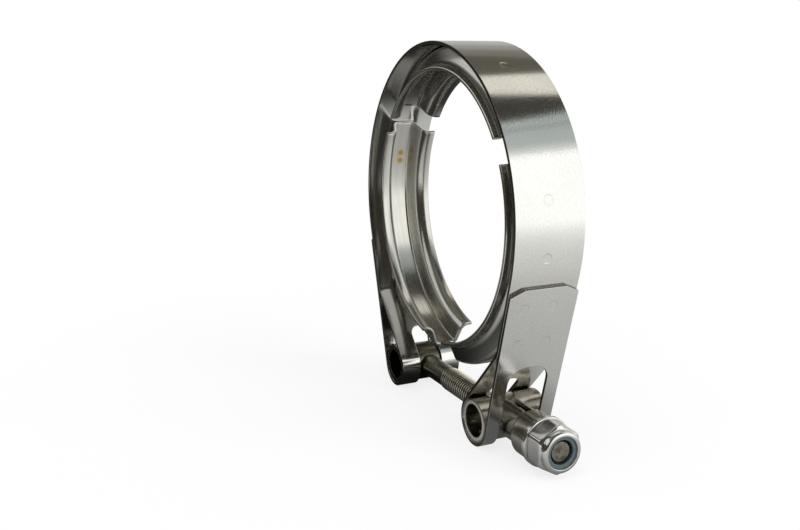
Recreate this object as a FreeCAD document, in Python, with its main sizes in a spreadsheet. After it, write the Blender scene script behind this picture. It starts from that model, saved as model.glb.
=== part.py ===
# V-band clamp for a three inch flanged exhaust joint, drawn open, as it is before it is tightened.
#
# Millimetres. The ring's axis is Y and its centre is the origin. The closure is at the bottom (-Z),
# the T-bolt lies along X, and the nut is at +X. The clamp stands on the two loops of its band.

import FreeCAD, Part
import math
import os
import Sketcher

from FreeCAD import Placement, Rotation, Vector

doc = FreeCAD.newDocument("v_band_clamp")

# The driving sizes, in millimetres, or in degrees where the name ends in angle, lean or slope.
SIZES = (
    # The band: one strip that runs round the ring, folds outwards round a barrel at each end
    # and laps back on its own outside, where it is spot-welded.
    ("band_radius", 50.0),  # inside of the ring
    ("band_thickness", 1.0),
    ("band_width", 22.0),
    ("ply_gap", 0.12),  # between the two plies of a lap
    ("weld_radius", 0.4),  # of the weld metal that joins them, seen along the ring's axis
    ("ply_lean", 16.3),  # of the straight plies, from the vertical
    ("loop_drop", 59.8),  # from the ring's axis down to the barrels' axes
    ("lap_length", 21.5),  # straight length of the inner ply, down to its bend
    ("tail_start", 1.4),  # from the end of the ring's arc down to the end of the tail
    ("tail_clip_along", 2.0),  # the tail's corners are clipped
    ("tail_clip_across", 4.4),
    ("bend_radius", 3.0),  # inside of the bend where the inner ply leaves the outer one
    ("weld_start", 10.0),  # first row of spot welds, from the end of the ring's arc
    ("weld_pitch", 9.0),
    ("weld_reach", 17.0),  # across the band, over both spots of a row
    ("outer_window_width", 13.2),  # the slot in the outer ply, wide enough for the trunnion's neck
    ("outer_window_corner", 5.3),
    ("outer_window_rise", 19.5),  # from the bolt's axis up to the slot's end
    ("inner_window_width", 8.4),  # the slot in the inner ply, which only lets the bolt through
    ("inner_window_corner", 3.9),
    ("inner_window_rise", 12.6),
    # The retainers: three rolled segments of V section, welded inside the ring.
    ("sheet", 1.2),
    ("lip_radius", 42.3),  # inside of the lips
    ("lip_reach", 9.3),  # from the middle plane to a lip's edge
    ("lip_bend", 2.6),  # inside radius of the bend between a leg and its lip
    ("vee_floor", 4.0),  # half the width of the V's outer floor
    ("vee_slope", 20.0),  # of a leg, from the radial direction
    ("vee_bend", 1.0),  # inside radius of the bends beside the floor
    ("closure_start_angle", -84.5),  # where the right segment ends, from +X
    ("closure_gap_angle", 17.5),  # between the left and right segments, over the bolt
    ("right_gap_angle", 10.0),  # between the right and top segments
    ("left_gap_angle", 8.5),  # between the top and left segments
    # The barrels, the T-bolt and the trunnion.
    ("barrel_radius", 6.6),
    ("barrel_bore", 5.0),
    ("barrel_inset", 0.25),  # of a barrel's end from the band's edge
    ("shank_radius", 3.65),
    ("shank_end", 3.3),  # how far the shank reaches past the left barrel's axis
    ("shank_length", 21.0),  # plain part, from the left barrel's axis
    ("thread_radius", 4.0),
    ("tip_chamfer", 1.2),
    ("tip_recess", 1.3),  # of the bolt's tip below the nut's crown
    ("passage_radius", 4.35),  # of the bolt's way through the trunnion
    ("neck_half", 5.3),  # half the width of the trunnion's neck
    ("neck_wall", 0.95),
    ("neck_rise", 1.0),  # height of its straight walls, between the round bottom and top
    ("seam_half", 1.2),  # half the width of the open seam along its top
    ("slit_start", 6.9),  # the slit along the neck, from the barrel's axis
    ("slit_drop", 0.4),  # from the bolt's axis down to the slit
    ("slit_height", 0.5),
    ("collar_start", 12.2),  # from the barrel's axis
    ("collar_reach", 21.2),  # from the barrel's axis to the face that bears on the washer
    ("collar_flare", 1.9),  # how far along the collar its full radius is reached
    ("collar_radius", 7.0),
    ("collar_edge", 0.5),
    # The washer, and the lock nut with its nylon ring.
    ("washer_bore", 4.2),
    ("washer_radius", 7.5),
    ("washer_thickness", 1.6),
    ("washer_edge", 0.4),
    ("nut_flats", 13.0),
    ("nut_corner", 7.3),  # radius that the rounded corners reach
    ("nut_face", 6.2),  # radius of the bearing face
    ("hex_height", 6.2),
    ("nut_height", 8.0),
    ("crown_radius", 6.15),
    ("crown_round", 0.9),
    ("crown_mouth", 4.7),
    ("nut_bore", 4.05),
    ("nut_lead_in", 0.5),
    ("nylon_radius", 5.3),
    ("nylon_seat", 5.4),  # where the ring starts in the nut
    ("nylon_face", 7.4),  # where it ends
    ("nylon_bore", 3.5),  # ahead of the bolt's tip, where the thread hasn't opened it yet
    ("nylon_edge", 0.25),
)

sheet = doc.addObject("Spreadsheet::Sheet", "Sizes")
for row, (name, size) in enumerate(SIZES, start=1):
    sheet.set(f"A{row}", name)
    sheet.set(f"B{row}", str(size))
    sheet.setAlias(f"B{row}", name)
doc.recompute()


def sized(text):
    """An expression in which each size's own name stands for its cell."""
    for name in sorted(dict(SIZES), key=len, reverse=True):
        text = text.replace(f"<{name}>", f"Sizes.{name}")
    return text


def value(text):
    """What an expression gives with the sizes as they are."""
    return float(sheet.evalExpression(sized(text)))


def bind(feature, **expressions):
    """Bind a feature's properties to expressions."""
    for prop, text in expressions.items():
        feature.setExpression(prop, sized(text))


# Lengths that several pieces share, as expressions.
RING_OUTSIDE = "(<band_radius> + <band_thickness>)"
PLY_INSIDE = "(<band_radius> + <band_thickness> + <ply_gap>)"
BARREL_X = f"(({PLY_INSIDE} - <barrel_radius> - <loop_drop> * sin(<ply_lean>)) / cos(<ply_lean>))"
COLLAR_FACE_X = f"({BARREL_X} + <collar_reach>)"
NUT_X = f"({COLLAR_FACE_X} + <washer_thickness>)"
BARREL_LENGTH = "(<band_width> - 2 * <barrel_inset>)"
LOOP_SIDE_X = f"({BARREL_X} + <barrel_radius> + <band_thickness> + <ply_gap>)"
SLOT_END_X = f"(({PLY_INSIDE} - (<loop_drop> - <outer_window_rise>) * sin(<ply_lean>)) / cos(<ply_lean>))"
SEGMENT_ANGLE = "((360 - <closure_gap_angle> - <right_gap_angle> - <left_gap_angle>) / 3)"
RIGHT_AT = f"(<closure_start_angle> + {SEGMENT_ANGLE} / 2)"
TOP_AT = f"({RIGHT_AT} + {SEGMENT_ANGLE} + <right_gap_angle>)"
LEFT_AT = f"({TOP_AT} + {SEGMENT_ANGLE} + <left_gap_angle>)"


def new_body(label, x="0", z="0", turn=None):
    """A body that stands at (x, 0, z), turned about Y if an angle is given."""
    body = doc.addObject("PartDesign::Body", label)
    body.Label = label
    body.setExpression(".Placement.Base.x", sized(x))
    body.setExpression(".Placement.Base.z", sized(z))
    if turn:
        body.Placement = Placement(Vector(), Rotation(Vector(0, -1, 0), value(turn)))
        body.setExpression(".Placement.Rotation.Angle", sized(f"({turn}) * 1deg"))
    return body


def new_sketch(body, name, plane, offset=None):
    """A sketch on one of the body's own origin planes, moved along its normal by offset."""
    sketch = body.newObject("Sketcher::SketchObject", name)
    origin_plane = next(f for f in body.Origin.OriginFeatures if f.Role == plane)
    sketch.AttachmentSupport = [(origin_plane, "")]
    sketch.MapMode = "FlatFace"
    if offset:
        sketch.setExpression(".AttachmentOffset.Base.z", sized(offset))
    return sketch


def constrain(sketch, kind, *where, size=None):
    """Add a constraint, and bind its size when it has one."""
    if size is None:
        return sketch.addConstraint(Sketcher.Constraint(kind, *where))
    datum = math.radians(value(size)) if kind == "Angle" else value(size)
    unit = " * 1deg" if kind == "Angle" else ""
    index = sketch.addConstraint(Sketcher.Constraint(kind, *where, datum))
    sketch.setExpression(f"Constraints[{index}]", sized(f"({size}){unit}"))
    return index


def outline(sketch, corners):
    """A closed polygon. Each corner is a pair of expressions, both measured from the origin."""
    points = [Vector(value(x), value(y), 0) for x, y in corners]
    next_points = points[1:] + points[:1]
    sides = [sketch.addGeometry(Part.LineSegment(a, b)) for a, b in zip(points, next_points)]
    sides_before = sides[-1:] + sides[:-1]
    for side, side_before, (x, y) in zip(sides, sides_before, corners):
        constrain(sketch, "Coincident", side_before, 2, side, 1)
        if value(x) == 0:
            constrain(sketch, "PointOnObject", side, 1, -2)
        else:
            constrain(sketch, "DistanceX", -1, 1, side, 1, size=x)
        if value(y) == 0:
            constrain(sketch, "PointOnObject", side, 1, -1)
        else:
            constrain(sketch, "DistanceY", -1, 1, side, 1, size=y)


def circle(sketch, radius, x=None, y=None):
    """A circle at the origin, or at a point given by expressions."""
    centre = Vector(value(x or "0"), value(y or "0"), 0)
    ring = sketch.addGeometry(Part.Circle(centre, Vector(0, 0, 1), value(radius)))
    constrain(sketch, "Radius", ring, size=radius)
    if x is None:
        constrain(sketch, "Coincident", ring, 3, -1, 1)
    else:
        constrain(sketch, "DistanceX", -1, 1, ring, 3, size=x)
        constrain(sketch, "DistanceY", -1, 1, ring, 3, size=y)


def pad(body, name, sketch, length, both_ways=False):
    """Add material along the sketch's normal, or half to each side of it."""
    feature = body.newObject("PartDesign::Pad", name)
    feature.Profile = sketch
    feature.SideType = "Symmetric" if both_ways else "One side"
    bind(feature, Length=length)
    return feature


def pocket(body, name, sketch, length, both_ways=False, along=True):
    """Remove material along the sketch's normal, against it, or half to each side of it."""
    feature = body.newObject("PartDesign::Pocket", name)
    feature.Profile = sketch
    feature.SideType = "Symmetric" if both_ways else "One side"
    feature.Reversed = along
    bind(feature, Length=length)
    return feature


def spun(body, name, kind, sketch, axis="H_Axis"):
    """A full Revolution or Groove about an axis of the sketch."""
    feature = body.newObject(f"PartDesign::{kind}", name)
    feature.Profile = sketch
    feature.ReferenceAxis = (sketch, [axis])
    feature.Angle = 360
    return feature


def round_edges(body, name, base, radius, wanted):
    """Fillet those edges of a feature that wanted() picks."""
    doc.recompute()
    edges = base.Shape.Edges
    feature = body.newObject("PartDesign::Fillet", name)
    feature.Base = (base, [f"Edge{i}" for i, e in enumerate(edges, start=1) if wanted(e)])
    bind(feature, Radius=radius)
    return feature


def circle_at(edge, axial, along, radius):
    """Whether an edge is an arc of that radius, centred that far along an axis (0, 1, 2)."""
    curve = edge.Curve
    if not isinstance(curve, Part.Circle):
        return False
    return abs(curve.Center[axial] - along) < 0.02 and abs(curve.Radius - radius) < 0.02


def tangent_arc(centre, radius, start, end):
    """An arc of a circle in the sketch, from the angle start to end in degrees, anticlockwise."""
    full = Part.Circle(Vector(*centre, 0), Vector(0, 0, 1), radius)
    return Part.ArcOfCircle(full, math.radians(start), math.radians(end))


def strip_side(sketch):
    """Half of the strip seen along the ring's axis: arc, lap, bend, loop and tail."""
    lean = math.radians(value("<ply_lean>"))
    normal = Vector(math.cos(lean), -math.sin(lean), 0)
    down = Vector(-math.sin(lean), -math.cos(lean), 0)
    inside = value("<band_radius>")
    outside = value(RING_OUTSIDE)
    barrel = Vector(value(BARREL_X), -value("<loop_drop>"), 0)
    lap = down * value("<lap_length>")
    bend = normal * (inside - value("<bend_radius>")) + lap
    gap = barrel - bend
    spread = value("<bend_radius> + <band_thickness> + <barrel_radius>")
    heading = math.atan2(gap.y, gap.x) - math.asin(spread / gap.Length)
    left = Vector(-math.sin(heading), math.cos(heading), 0)
    turned = math.degrees(math.atan2(left.y, left.x))
    lean_angle = -value("<ply_lean>")
    tail = down * value("<tail_start>")

    def face(ring, bend_radius, wrap, ply):
        """One face of the strip, from the top of the ring to the tail."""
        shapes = (
            tangent_arc((0, 0), ring, lean_angle, 90),
            Part.LineSegment(normal * ring, normal * ring + lap),
            tangent_arc((bend.x, bend.y), bend_radius, turned, lean_angle),
            Part.LineSegment(bend + left * bend_radius, barrel - left * wrap),
            tangent_arc((barrel.x, barrel.y), wrap, turned + 180, lean_angle + 360),
            Part.LineSegment(barrel + normal * wrap, normal * ply + tail),
        )
        arc, lap_line, bend_arc, leg, wrap_arc, ply_line = [sketch.addGeometry(s) for s in shapes]
        # Each arc's start is its clockwise end.
        for first, first_end, second, second_end in (
            (arc, 1, lap_line, 1),
            (lap_line, 2, bend_arc, 2),
            (bend_arc, 1, leg, 1),
            (leg, 2, wrap_arc, 1),
            (wrap_arc, 2, ply_line, 1),
        ):
            constrain(sketch, "Tangent", first, first_end, second, second_end)
        constrain(sketch, "Coincident", arc, 3, -1, 1)
        constrain(sketch, "PointOnObject", arc, 2, -2)
        return arc, lap_line, bend_arc, leg, wrap_arc, ply_line

    thick = value("<band_thickness>")
    rise = value("<bend_radius>")
    wrap = value("<barrel_radius>")
    ply = value(PLY_INSIDE)
    inner = face(inside, rise, wrap + thick, ply + thick)
    outer = face(outside, rise + thick, wrap, ply)
    ends = (
        sketch.addGeometry(Part.LineSegment(normal * (ply + thick) + tail, normal * ply + tail)),
        sketch.addGeometry(Part.LineSegment(Vector(0, outside, 0), Vector(0, inside, 0))),
    )
    constrain(sketch, "Coincident", inner[5], 2, ends[0], 1)
    constrain(sketch, "Coincident", ends[0], 2, outer[5], 2)
    constrain(sketch, "Coincident", outer[0], 2, ends[1], 1)
    constrain(sketch, "Coincident", ends[1], 2, inner[0], 2)
    constrain(sketch, "Perpendicular", ends[0], inner[5])
    constrain(sketch, "Parallel", inner[5], outer[5])
    constrain(sketch, "Parallel", inner[1], outer[5])
    constrain(sketch, "Coincident", inner[2], 3, outer[2], 3)
    constrain(sketch, "Coincident", inner[4], 3, outer[4], 3)
    constrain(sketch, "Radius", inner[0], size="<band_radius>")
    constrain(sketch, "Radius", outer[0], size=RING_OUTSIDE)
    constrain(sketch, "Radius", inner[2], size="<bend_radius>")
    constrain(sketch, "Radius", outer[2], size="<bend_radius> + <band_thickness>")
    constrain(sketch, "Radius", inner[4], size="<barrel_radius> + <band_thickness>")
    constrain(sketch, "Radius", outer[4], size="<barrel_radius>")
    constrain(sketch, "Angle", inner[1], size="-90 - <ply_lean>")
    constrain(sketch, "Distance", inner[1], size="<lap_length>")
    constrain(sketch, "DistanceY", -1, 1, inner[4], 3, size="-<loop_drop>")
    constrain(sketch, "DistanceX", -1, 1, inner[4], 3, size=BARREL_X)
    tail_x = f"{PLY_INSIDE} * cos(<ply_lean>) - <tail_start> * sin(<ply_lean>)"
    constrain(sketch, "DistanceX", -1, 1, outer[5], 2, size=tail_x)


def window(sketch, ply):
    """The slot of the outer or the inner ply: rounded upper corners, open below the loop."""
    width = f"<{ply}_window_width>"
    top = f"<{ply}_window_rise> - <loop_drop>"
    half = value(width) / 2
    corner = value(f"<{ply}_window_corner>")
    high = value(top)
    low = value("-<loop_drop> - 2 * <barrel_radius>")
    shapes = (
        Part.LineSegment(Vector(half, low, 0), Vector(half, high - corner, 0)),
        tangent_arc((half - corner, high - corner), corner, 0, 90),
        Part.LineSegment(Vector(half - corner, high, 0), Vector(corner - half, high, 0)),
        tangent_arc((corner - half, high - corner), corner, 90, 180),
        Part.LineSegment(Vector(-half, high - corner, 0), Vector(-half, low, 0)),
        Part.LineSegment(Vector(-half, low, 0), Vector(half, low, 0)),
    )
    right, right_arc, lid, left_arc, left, base = [sketch.addGeometry(s) for s in shapes]
    constrain(sketch, "Tangent", right, 2, right_arc, 1)
    constrain(sketch, "Tangent", right_arc, 2, lid, 1)
    constrain(sketch, "Tangent", lid, 2, left_arc, 1)
    constrain(sketch, "Tangent", left_arc, 2, left, 1)
    constrain(sketch, "Coincident", left, 2, base, 1)
    constrain(sketch, "Coincident", base, 2, right, 1)
    constrain(sketch, "Vertical", right)
    constrain(sketch, "Vertical", left)
    constrain(sketch, "Horizontal", lid)
    constrain(sketch, "Symmetric", right, 1, left, 2, -2)
    constrain(sketch, "Equal", right_arc, left_arc)
    constrain(sketch, "Radius", right_arc, size=f"<{ply}_window_corner>")
    constrain(sketch, "DistanceX", left, 2, right, 1, size=width)
    constrain(sketch, "DistanceY", -1, 1, lid, 1, size=top)
    constrain(sketch, "DistanceY", -1, 1, right, 1, size="-<loop_drop> - 2 * <barrel_radius>")


band = new_body("outer_band")
side_sketch = new_sketch(band, "StripSide", "XZ_Plane")
strip_side(side_sketch)
strip = pad(band, "Strip", side_sketch, "<band_width>", both_ways=True)

# The weld metal between the plies: a row of spots is one rod across the lap, hidden inside it.
weld_sketch = new_sketch(band, "WeldRows", "XZ_Plane")
lap_middle = f"({PLY_INSIDE} - <ply_gap> / 2)"
for weld_row in range(2):
    lap_down = f"(<weld_start> + {weld_row} * <weld_pitch>)"
    circle(
        weld_sketch,
        "<weld_radius>",
        x=f"{lap_middle} * cos(<ply_lean>) - {lap_down} * sin(<ply_lean>)",
        y=f"-{lap_middle} * sin(<ply_lean>) - {lap_down} * cos(<ply_lean>)",
    )
welds = pad(band, "Welds", weld_sketch, "<weld_reach>", both_ways=True)

# One slot runs round the loop. Its wide part is cut outwards through the outer ply, from a plane
# that passes between the plies, and across the outer half of the wrap. Its narrow part is cut
# inwards through the rest of the loop.
BETWEEN_PLIES_X = f"({SLOT_END_X} - <bend_radius> * 3 / 4)"
outer_window_sketch = new_sketch(band, "OuterWindowShape", "YZ_Plane", offset=BETWEEN_PLIES_X)
window(outer_window_sketch, "outer")
pocket(band, "OuterWindow", outer_window_sketch, "<band_radius> / 2")

wrap_slot_sketch = new_sketch(band, "WrapSlotSide", "XZ_Plane")
outline(
    wrap_slot_sketch,
    (
        (BARREL_X, "-<loop_drop> + <barrel_radius>"),
        (BETWEEN_PLIES_X, "-<loop_drop> + <outer_window_rise> - <outer_window_corner>"),
        (BETWEEN_PLIES_X, "-<loop_drop> - 2 * <barrel_radius>"),
        (BARREL_X, "-<loop_drop> - 2 * <barrel_radius>"),
    ),
)
pocket(band, "WrapSlot", wrap_slot_sketch, "<outer_window_width>", both_ways=True)

inner_window_sketch = new_sketch(band, "InnerWindowShape", "YZ_Plane", offset=LOOP_SIDE_X)
window(inner_window_sketch, "inner")
inner_window = pocket(
    band, "InnerWindow", inner_window_sketch, "<band_radius> / 2", along=False
)

doc.recompute()


def tail_corner_edges(shape):
    """The names of the two short edges where the tail's end meets the strip's sides."""
    lean = math.radians(value("<ply_lean>"))
    out = value(f"{PLY_INSIDE} + <band_thickness> / 2")
    down = value("<tail_start>")
    tail_x = out * math.cos(lean) - down * math.sin(lean)
    tail_z = -out * math.sin(lean) - down * math.cos(lean)
    side_y = value("<band_width> / 2")
    corners = [Vector(tail_x, side_y, tail_z), Vector(tail_x, -side_y, tail_z)]
    return [
        f"Edge{i}"
        for i, edge in enumerate(shape.Edges, start=1)
        if min((edge.CenterOfMass - corner).Length for corner in corners) < 0.05
    ]


clip = band.newObject("PartDesign::Chamfer", "TailClip")
clip.Base = (inner_window, tail_corner_edges(inner_window.Shape))
clip.ChamferType = "Two distances"
bind(clip, Size="<tail_clip_along>", Size2="<tail_clip_across>")

both_sides = band.newObject("PartDesign::Mirrored", "BothSides")
both_sides.TransformMode = "Whole shape"
both_sides.MirrorPlane = (side_sketch, ["V_Axis"])
band.Tip = both_sides

# The retainers: their section is a V with a flat floor against the band and lips inside.
FLOOR_RADIUS = "<band_radius>"
LIP_OUTSIDE = "(<lip_radius> + <sheet>)"
LEG_SHIFT = "<sheet> / cos(<vee_slope>)"
SHOULDER = f"(<vee_floor> + (<band_radius> - {LIP_OUTSIDE}) * tan(<vee_slope>))"
FLOOR_INSIDE = f"(<vee_floor> + <sheet> * tan(<vee_slope>) - {LEG_SHIFT})"
THROAT = f"(<vee_floor> + (<band_radius> - <lip_radius>) * tan(<vee_slope>) - {LEG_SHIFT})"


def retainer(label, position):
    """A rolled segment of V section, centred at an angle round the ring."""
    body = new_body(label, turn=position)
    section = new_sketch(body, f"{label}_section", "XY_Plane")
    outer_side = (
        (LIP_OUTSIDE, "<lip_reach>"),
        (LIP_OUTSIDE, SHOULDER),
        (FLOOR_RADIUS, "<vee_floor>"),
    )
    inner_side = (
        ("<lip_radius>", "<lip_reach>"),
        ("<lip_radius>", THROAT),
        ("(<band_radius> - <sheet>)", FLOOR_INSIDE),
    )
    outline(
        section,
        (
            *outer_side,
            *[(radius, f"-{reach}") for radius, reach in reversed(outer_side)],
            *[(radius, f"-{reach}") for radius, reach in inner_side],
            *reversed(inner_side),
        ),
    )
    rolled = body.newObject("PartDesign::Revolution", f"{label}_rolled")
    rolled.Profile = section
    rolled.ReferenceAxis = (section, ["V_Axis"])
    rolled.Midplane = True
    bind(rolled, Angle=f"{SEGMENT_ANGLE} * 1deg")

    def bend_at(place_radius, place_reach):
        """Picks the arcs at a place of the section, on both sides of the V."""
        radius, reach = value(place_radius), value(place_reach)
        return lambda edge: any(circle_at(edge, 1, side * reach, radius) for side in (-1, 1))

    bend = rolled
    for name, radius, place in (
        ("floor_bends", "<vee_bend>", ("<band_radius> - <sheet>", FLOOR_INSIDE)),
        ("floor_backs", "<vee_bend> + <sheet>", (FLOOR_RADIUS, "<vee_floor>")),
        ("lip_bends", "<lip_bend>", (LIP_OUTSIDE, SHOULDER)),
        ("lip_backs", "<lip_bend> + <sheet>", ("<lip_radius>", THROAT)),
    ):
        bend = round_edges(body, f"{label}_{name}", bend, radius, bend_at(*place))
    return body


top_retainer = retainer("top_retainer", TOP_AT)
left_retainer = retainer("left_retainer", LEFT_AT)
right_retainer = retainer("right_retainer", RIGHT_AT)

# The left barrel, which the T-bolt crosses, and the T-bolt.

left_barrel = new_body("bolt_barrel", x=f"-{BARREL_X}", z="-<loop_drop>")
tube_sketch = new_sketch(left_barrel, "TubeEnd", "XZ_Plane")
circle(tube_sketch, "<barrel_radius>")
circle(tube_sketch, "<barrel_bore>")
pad(left_barrel, "Tube", tube_sketch, BARREL_LENGTH, both_ways=True)
shank_hole_sketch = new_sketch(left_barrel, "ShankHoleEnd", "YZ_Plane")
circle(shank_hole_sketch, "<shank_radius>")
pocket(left_barrel, "ShankHole", shank_hole_sketch, "<barrel_radius> * 2")

bolt = new_body("t_bolt", z="-<loop_drop>")
bolt_sketch = new_sketch(bolt, "BoltHalf", "XZ_Plane")
BOLT_TIP = f"({NUT_X} + <nut_height> - <tip_recess>)"
THREAD_START = f"(<shank_length> - {BARREL_X})"
outline(
    bolt_sketch,
    (
        (f"-{BARREL_X} - <shank_end>", "0"),
        (f"-{BARREL_X} - <shank_end>", "<shank_radius>"),
        (THREAD_START, "<shank_radius>"),
        (f"{THREAD_START} + (<thread_radius> - <shank_radius>)", "<thread_radius>"),
        (f"{BOLT_TIP} - <tip_chamfer>", "<thread_radius>"),
        (BOLT_TIP, "<thread_radius> - <tip_chamfer>"),
        (BOLT_TIP, "0"),
    ),
)
spun(bolt, "BoltTurned", "Revolution", bolt_sketch)

# The trunnion: a barrel with a neck like a tube with an open seam, and a collar that the washer
# bears on.

trunnion = new_body("nut_trunnion", x=BARREL_X, z="-<loop_drop>")
barrel_sketch = new_sketch(trunnion, "BarrelEnd", "XZ_Plane")
circle(barrel_sketch, "<barrel_radius>")
pad(trunnion, "Barrel", barrel_sketch, BARREL_LENGTH, both_ways=True)


def neck_section(sketch):
    """The neck's section: a tube, a little higher than wide, with an open seam along its top."""
    outside = value("<neck_half>")
    inside = value("<neck_half> - <neck_wall>")
    rise = value("<neck_rise>")
    seam = value("<seam_half>")
    turned, turned_inside = [math.degrees(math.acos(seam / r)) for r in (outside, inside)]
    top = rise + math.sqrt(outside**2 - seam**2)
    under_top = rise + math.sqrt(inside**2 - seam**2)

    def wall(radius, end):
        """The bottom arc, both straight sides and both top arcs of one face of the sheet."""
        shapes = (
            tangent_arc((0, 0), radius, 180, 360),
            Part.LineSegment(Vector(radius, 0, 0), Vector(radius, rise, 0)),
            tangent_arc((0, rise), radius, 0, end),
            Part.LineSegment(Vector(-radius, 0, 0), Vector(-radius, rise, 0)),
            tangent_arc((0, rise), radius, 180 - end, 180),
        )
        under, right, right_top, left, left_top = [sketch.addGeometry(s) for s in shapes]
        constrain(sketch, "Tangent", under, 2, right, 1)
        constrain(sketch, "Tangent", right, 2, right_top, 1)
        constrain(sketch, "Tangent", under, 1, left, 1)
        constrain(sketch, "Tangent", left, 2, left_top, 2)
        constrain(sketch, "Coincident", under, 3, -1, 1)
        constrain(sketch, "Coincident", right_top, 3, left_top, 3)
        constrain(sketch, "PointOnObject", under, 1, -1)
        constrain(sketch, "PointOnObject", under, 2, -1)
        constrain(sketch, "PointOnObject", right_top, 3, -2)
        constrain(sketch, "DistanceY", -1, 1, right_top, 3, size="<neck_rise>")
        return under, right_top, left_top

    under, right_top, left_top = wall(outside, turned)
    floor, right_inner, left_inner = wall(inside, turned_inside)
    right_rim = Part.LineSegment(Vector(seam, top, 0), Vector(seam, under_top, 0))
    left_rim = Part.LineSegment(Vector(-seam, top, 0), Vector(-seam, under_top, 0))
    right_rim, left_rim = sketch.addGeometry(right_rim), sketch.addGeometry(left_rim)
    for rim, outer_arc, inner_arc, end in (
        (right_rim, right_top, right_inner, 2),
        (left_rim, left_top, left_inner, 1),
    ):
        constrain(sketch, "Coincident", rim, 1, outer_arc, end)
        constrain(sketch, "Coincident", rim, 2, inner_arc, end)
        constrain(sketch, "Vertical", rim)
    constrain(sketch, "Radius", under, size="<neck_half>")
    constrain(sketch, "Radius", floor, size="<neck_half> - <neck_wall>")
    constrain(sketch, "DistanceX", -1, 1, right_rim, 1, size="<seam_half>")
    constrain(sketch, "DistanceX", left_rim, 1, -1, 1, size="<seam_half>")


neck_sketch = new_sketch(trunnion, "NeckSection", "YZ_Plane", offset="<barrel_bore> / 2")
neck_section(neck_sketch)
pad(trunnion, "Neck", neck_sketch, "<collar_start> + <neck_wall> - <barrel_bore> / 2")

collar_sketch = new_sketch(trunnion, "CollarHalf", "XZ_Plane")
outline(
    collar_sketch,
    (
        ("<collar_start>", "<passage_radius>"),
        ("<collar_start>", "<neck_half>"),
        ("<collar_start> + <neck_wall>", "<neck_half> + <neck_wall> / 3"),
        ("<collar_start> + <neck_wall> + <collar_flare>", "<collar_radius>"),
        ("<collar_reach>", "<collar_radius>"),
        ("<collar_reach>", "<passage_radius>"),
    ),
)
spun(trunnion, "Collar", "Revolution", collar_sketch)

bore_sketch = new_sketch(trunnion, "BoreEnd", "XZ_Plane")
circle(bore_sketch, "<barrel_bore>")
pocket(trunnion, "Bore", bore_sketch, "<band_width> * 1.1", both_ways=True)

passage_sketch = new_sketch(trunnion, "PassageEnd", "YZ_Plane")
circle(passage_sketch, "<passage_radius>")
pocket(trunnion, "Passage", passage_sketch, "<collar_reach> * 2.2", both_ways=True)

slit_sketch = new_sketch(trunnion, "SlitShape", "XZ_Plane")
outline(
    slit_sketch,
    (
        ("<slit_start>", "-<slit_drop>"),
        ("<collar_start>", "-<slit_drop>"),
        ("<collar_start>", "-<slit_drop> - <slit_height>"),
        ("<slit_start>", "-<slit_drop> - <slit_height>"),
    ),
)
slit = pocket(trunnion, "Slit", slit_sketch, "<neck_half> * 2.2", both_ways=True)
collar_rim = (value("<collar_reach>"), value("<collar_radius>"))
round_edges(
    trunnion, "CollarEdge", slit, "<collar_edge>", lambda edge: circle_at(edge, 0, *collar_rim)
)

# The washer, with the rounded edge of a stamping towards the nut.
washer = new_body("flat_washer", x=COLLAR_FACE_X, z="-<loop_drop>")
washer_sketch = new_sketch(washer, "WasherFace", "YZ_Plane")
circle(washer_sketch, "<washer_radius>")
circle(washer_sketch, "<washer_bore>")
disc = pad(washer, "Disc", washer_sketch, "<washer_thickness>")
washer_rim = (value("<washer_thickness>"), value("<washer_radius>"))
round_edges(
    washer, "StampedEdge", disc, "<washer_edge>", lambda edge: circle_at(edge, 0, *washer_rim)
)

# The lock nut: a hexagon with a round crown, which is rolled over a nylon ring.
nut = new_body("lock_nut", x=NUT_X, z="-<loop_drop>")
hex_sketch = new_sketch(nut, "Hexagon", "YZ_Plane")
CORNER = "<nut_flats> / sqrt(3)"
outline(
    hex_sketch,
    (
        ("0", CORNER),
        ("-<nut_flats> / 2", f"{CORNER} / 2"),
        ("-<nut_flats> / 2", f"-{CORNER} / 2"),
        ("0", f"-{CORNER}"),
        ("<nut_flats> / 2", f"-{CORNER} / 2"),
        ("<nut_flats> / 2", f"{CORNER} / 2"),
    ),
)
pad(nut, "HexPrism", hex_sketch, "<hex_height>")

crown_sketch = new_sketch(nut, "CrownHalf", "XZ_Plane")
outline(
    crown_sketch,
    (
        ("<hex_height> / 2", "0"),
        ("<hex_height> / 2", "<crown_radius>"),
        ("<nut_height>", "<crown_radius>"),
        ("<nut_height>", "0"),
    ),
)
crown = spun(nut, "Crown", "Revolution", crown_sketch)
crown_rim = (value("<nut_height>"), value("<crown_radius>"))
round_edges(nut, "CrownEdge", crown, "<crown_round>", lambda edge: circle_at(edge, 0, *crown_rim))

CHAMFER = "(<nut_corner> - <nut_face>) * tan(30)"
corner_sketch = new_sketch(nut, "CornerTrim", "XZ_Plane")
outline(
    corner_sketch,
    (
        ("0", "<nut_face>"),
        (CHAMFER, "<nut_corner>"),
        (f"<hex_height> - {CHAMFER}", "<nut_corner>"),
        ("<hex_height>", "<nut_face>"),
        ("<hex_height>", "<nut_flats>"),
        ("0", "<nut_flats>"),
    ),
)
spun(nut, "Corners", "Groove", corner_sketch)

thread_sketch = new_sketch(nut, "ThreadAndSeat", "XZ_Plane")
outline(
    thread_sketch,
    (
        ("0", "0"),
        ("0", "<nut_bore> + <nut_lead_in>"),
        ("<nut_lead_in>", "<nut_bore>"),
        ("<nylon_seat>", "<nut_bore>"),
        ("<nylon_seat>", "<nylon_radius>"),
        ("<nylon_face>", "<nylon_radius>"),
        ("<nylon_face>", "<crown_mouth>"),
        ("<nut_height>", "<crown_mouth>"),
        ("<nut_height>", "0"),
    ),
)
spun(nut, "Bored", "Groove", thread_sketch)

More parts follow.
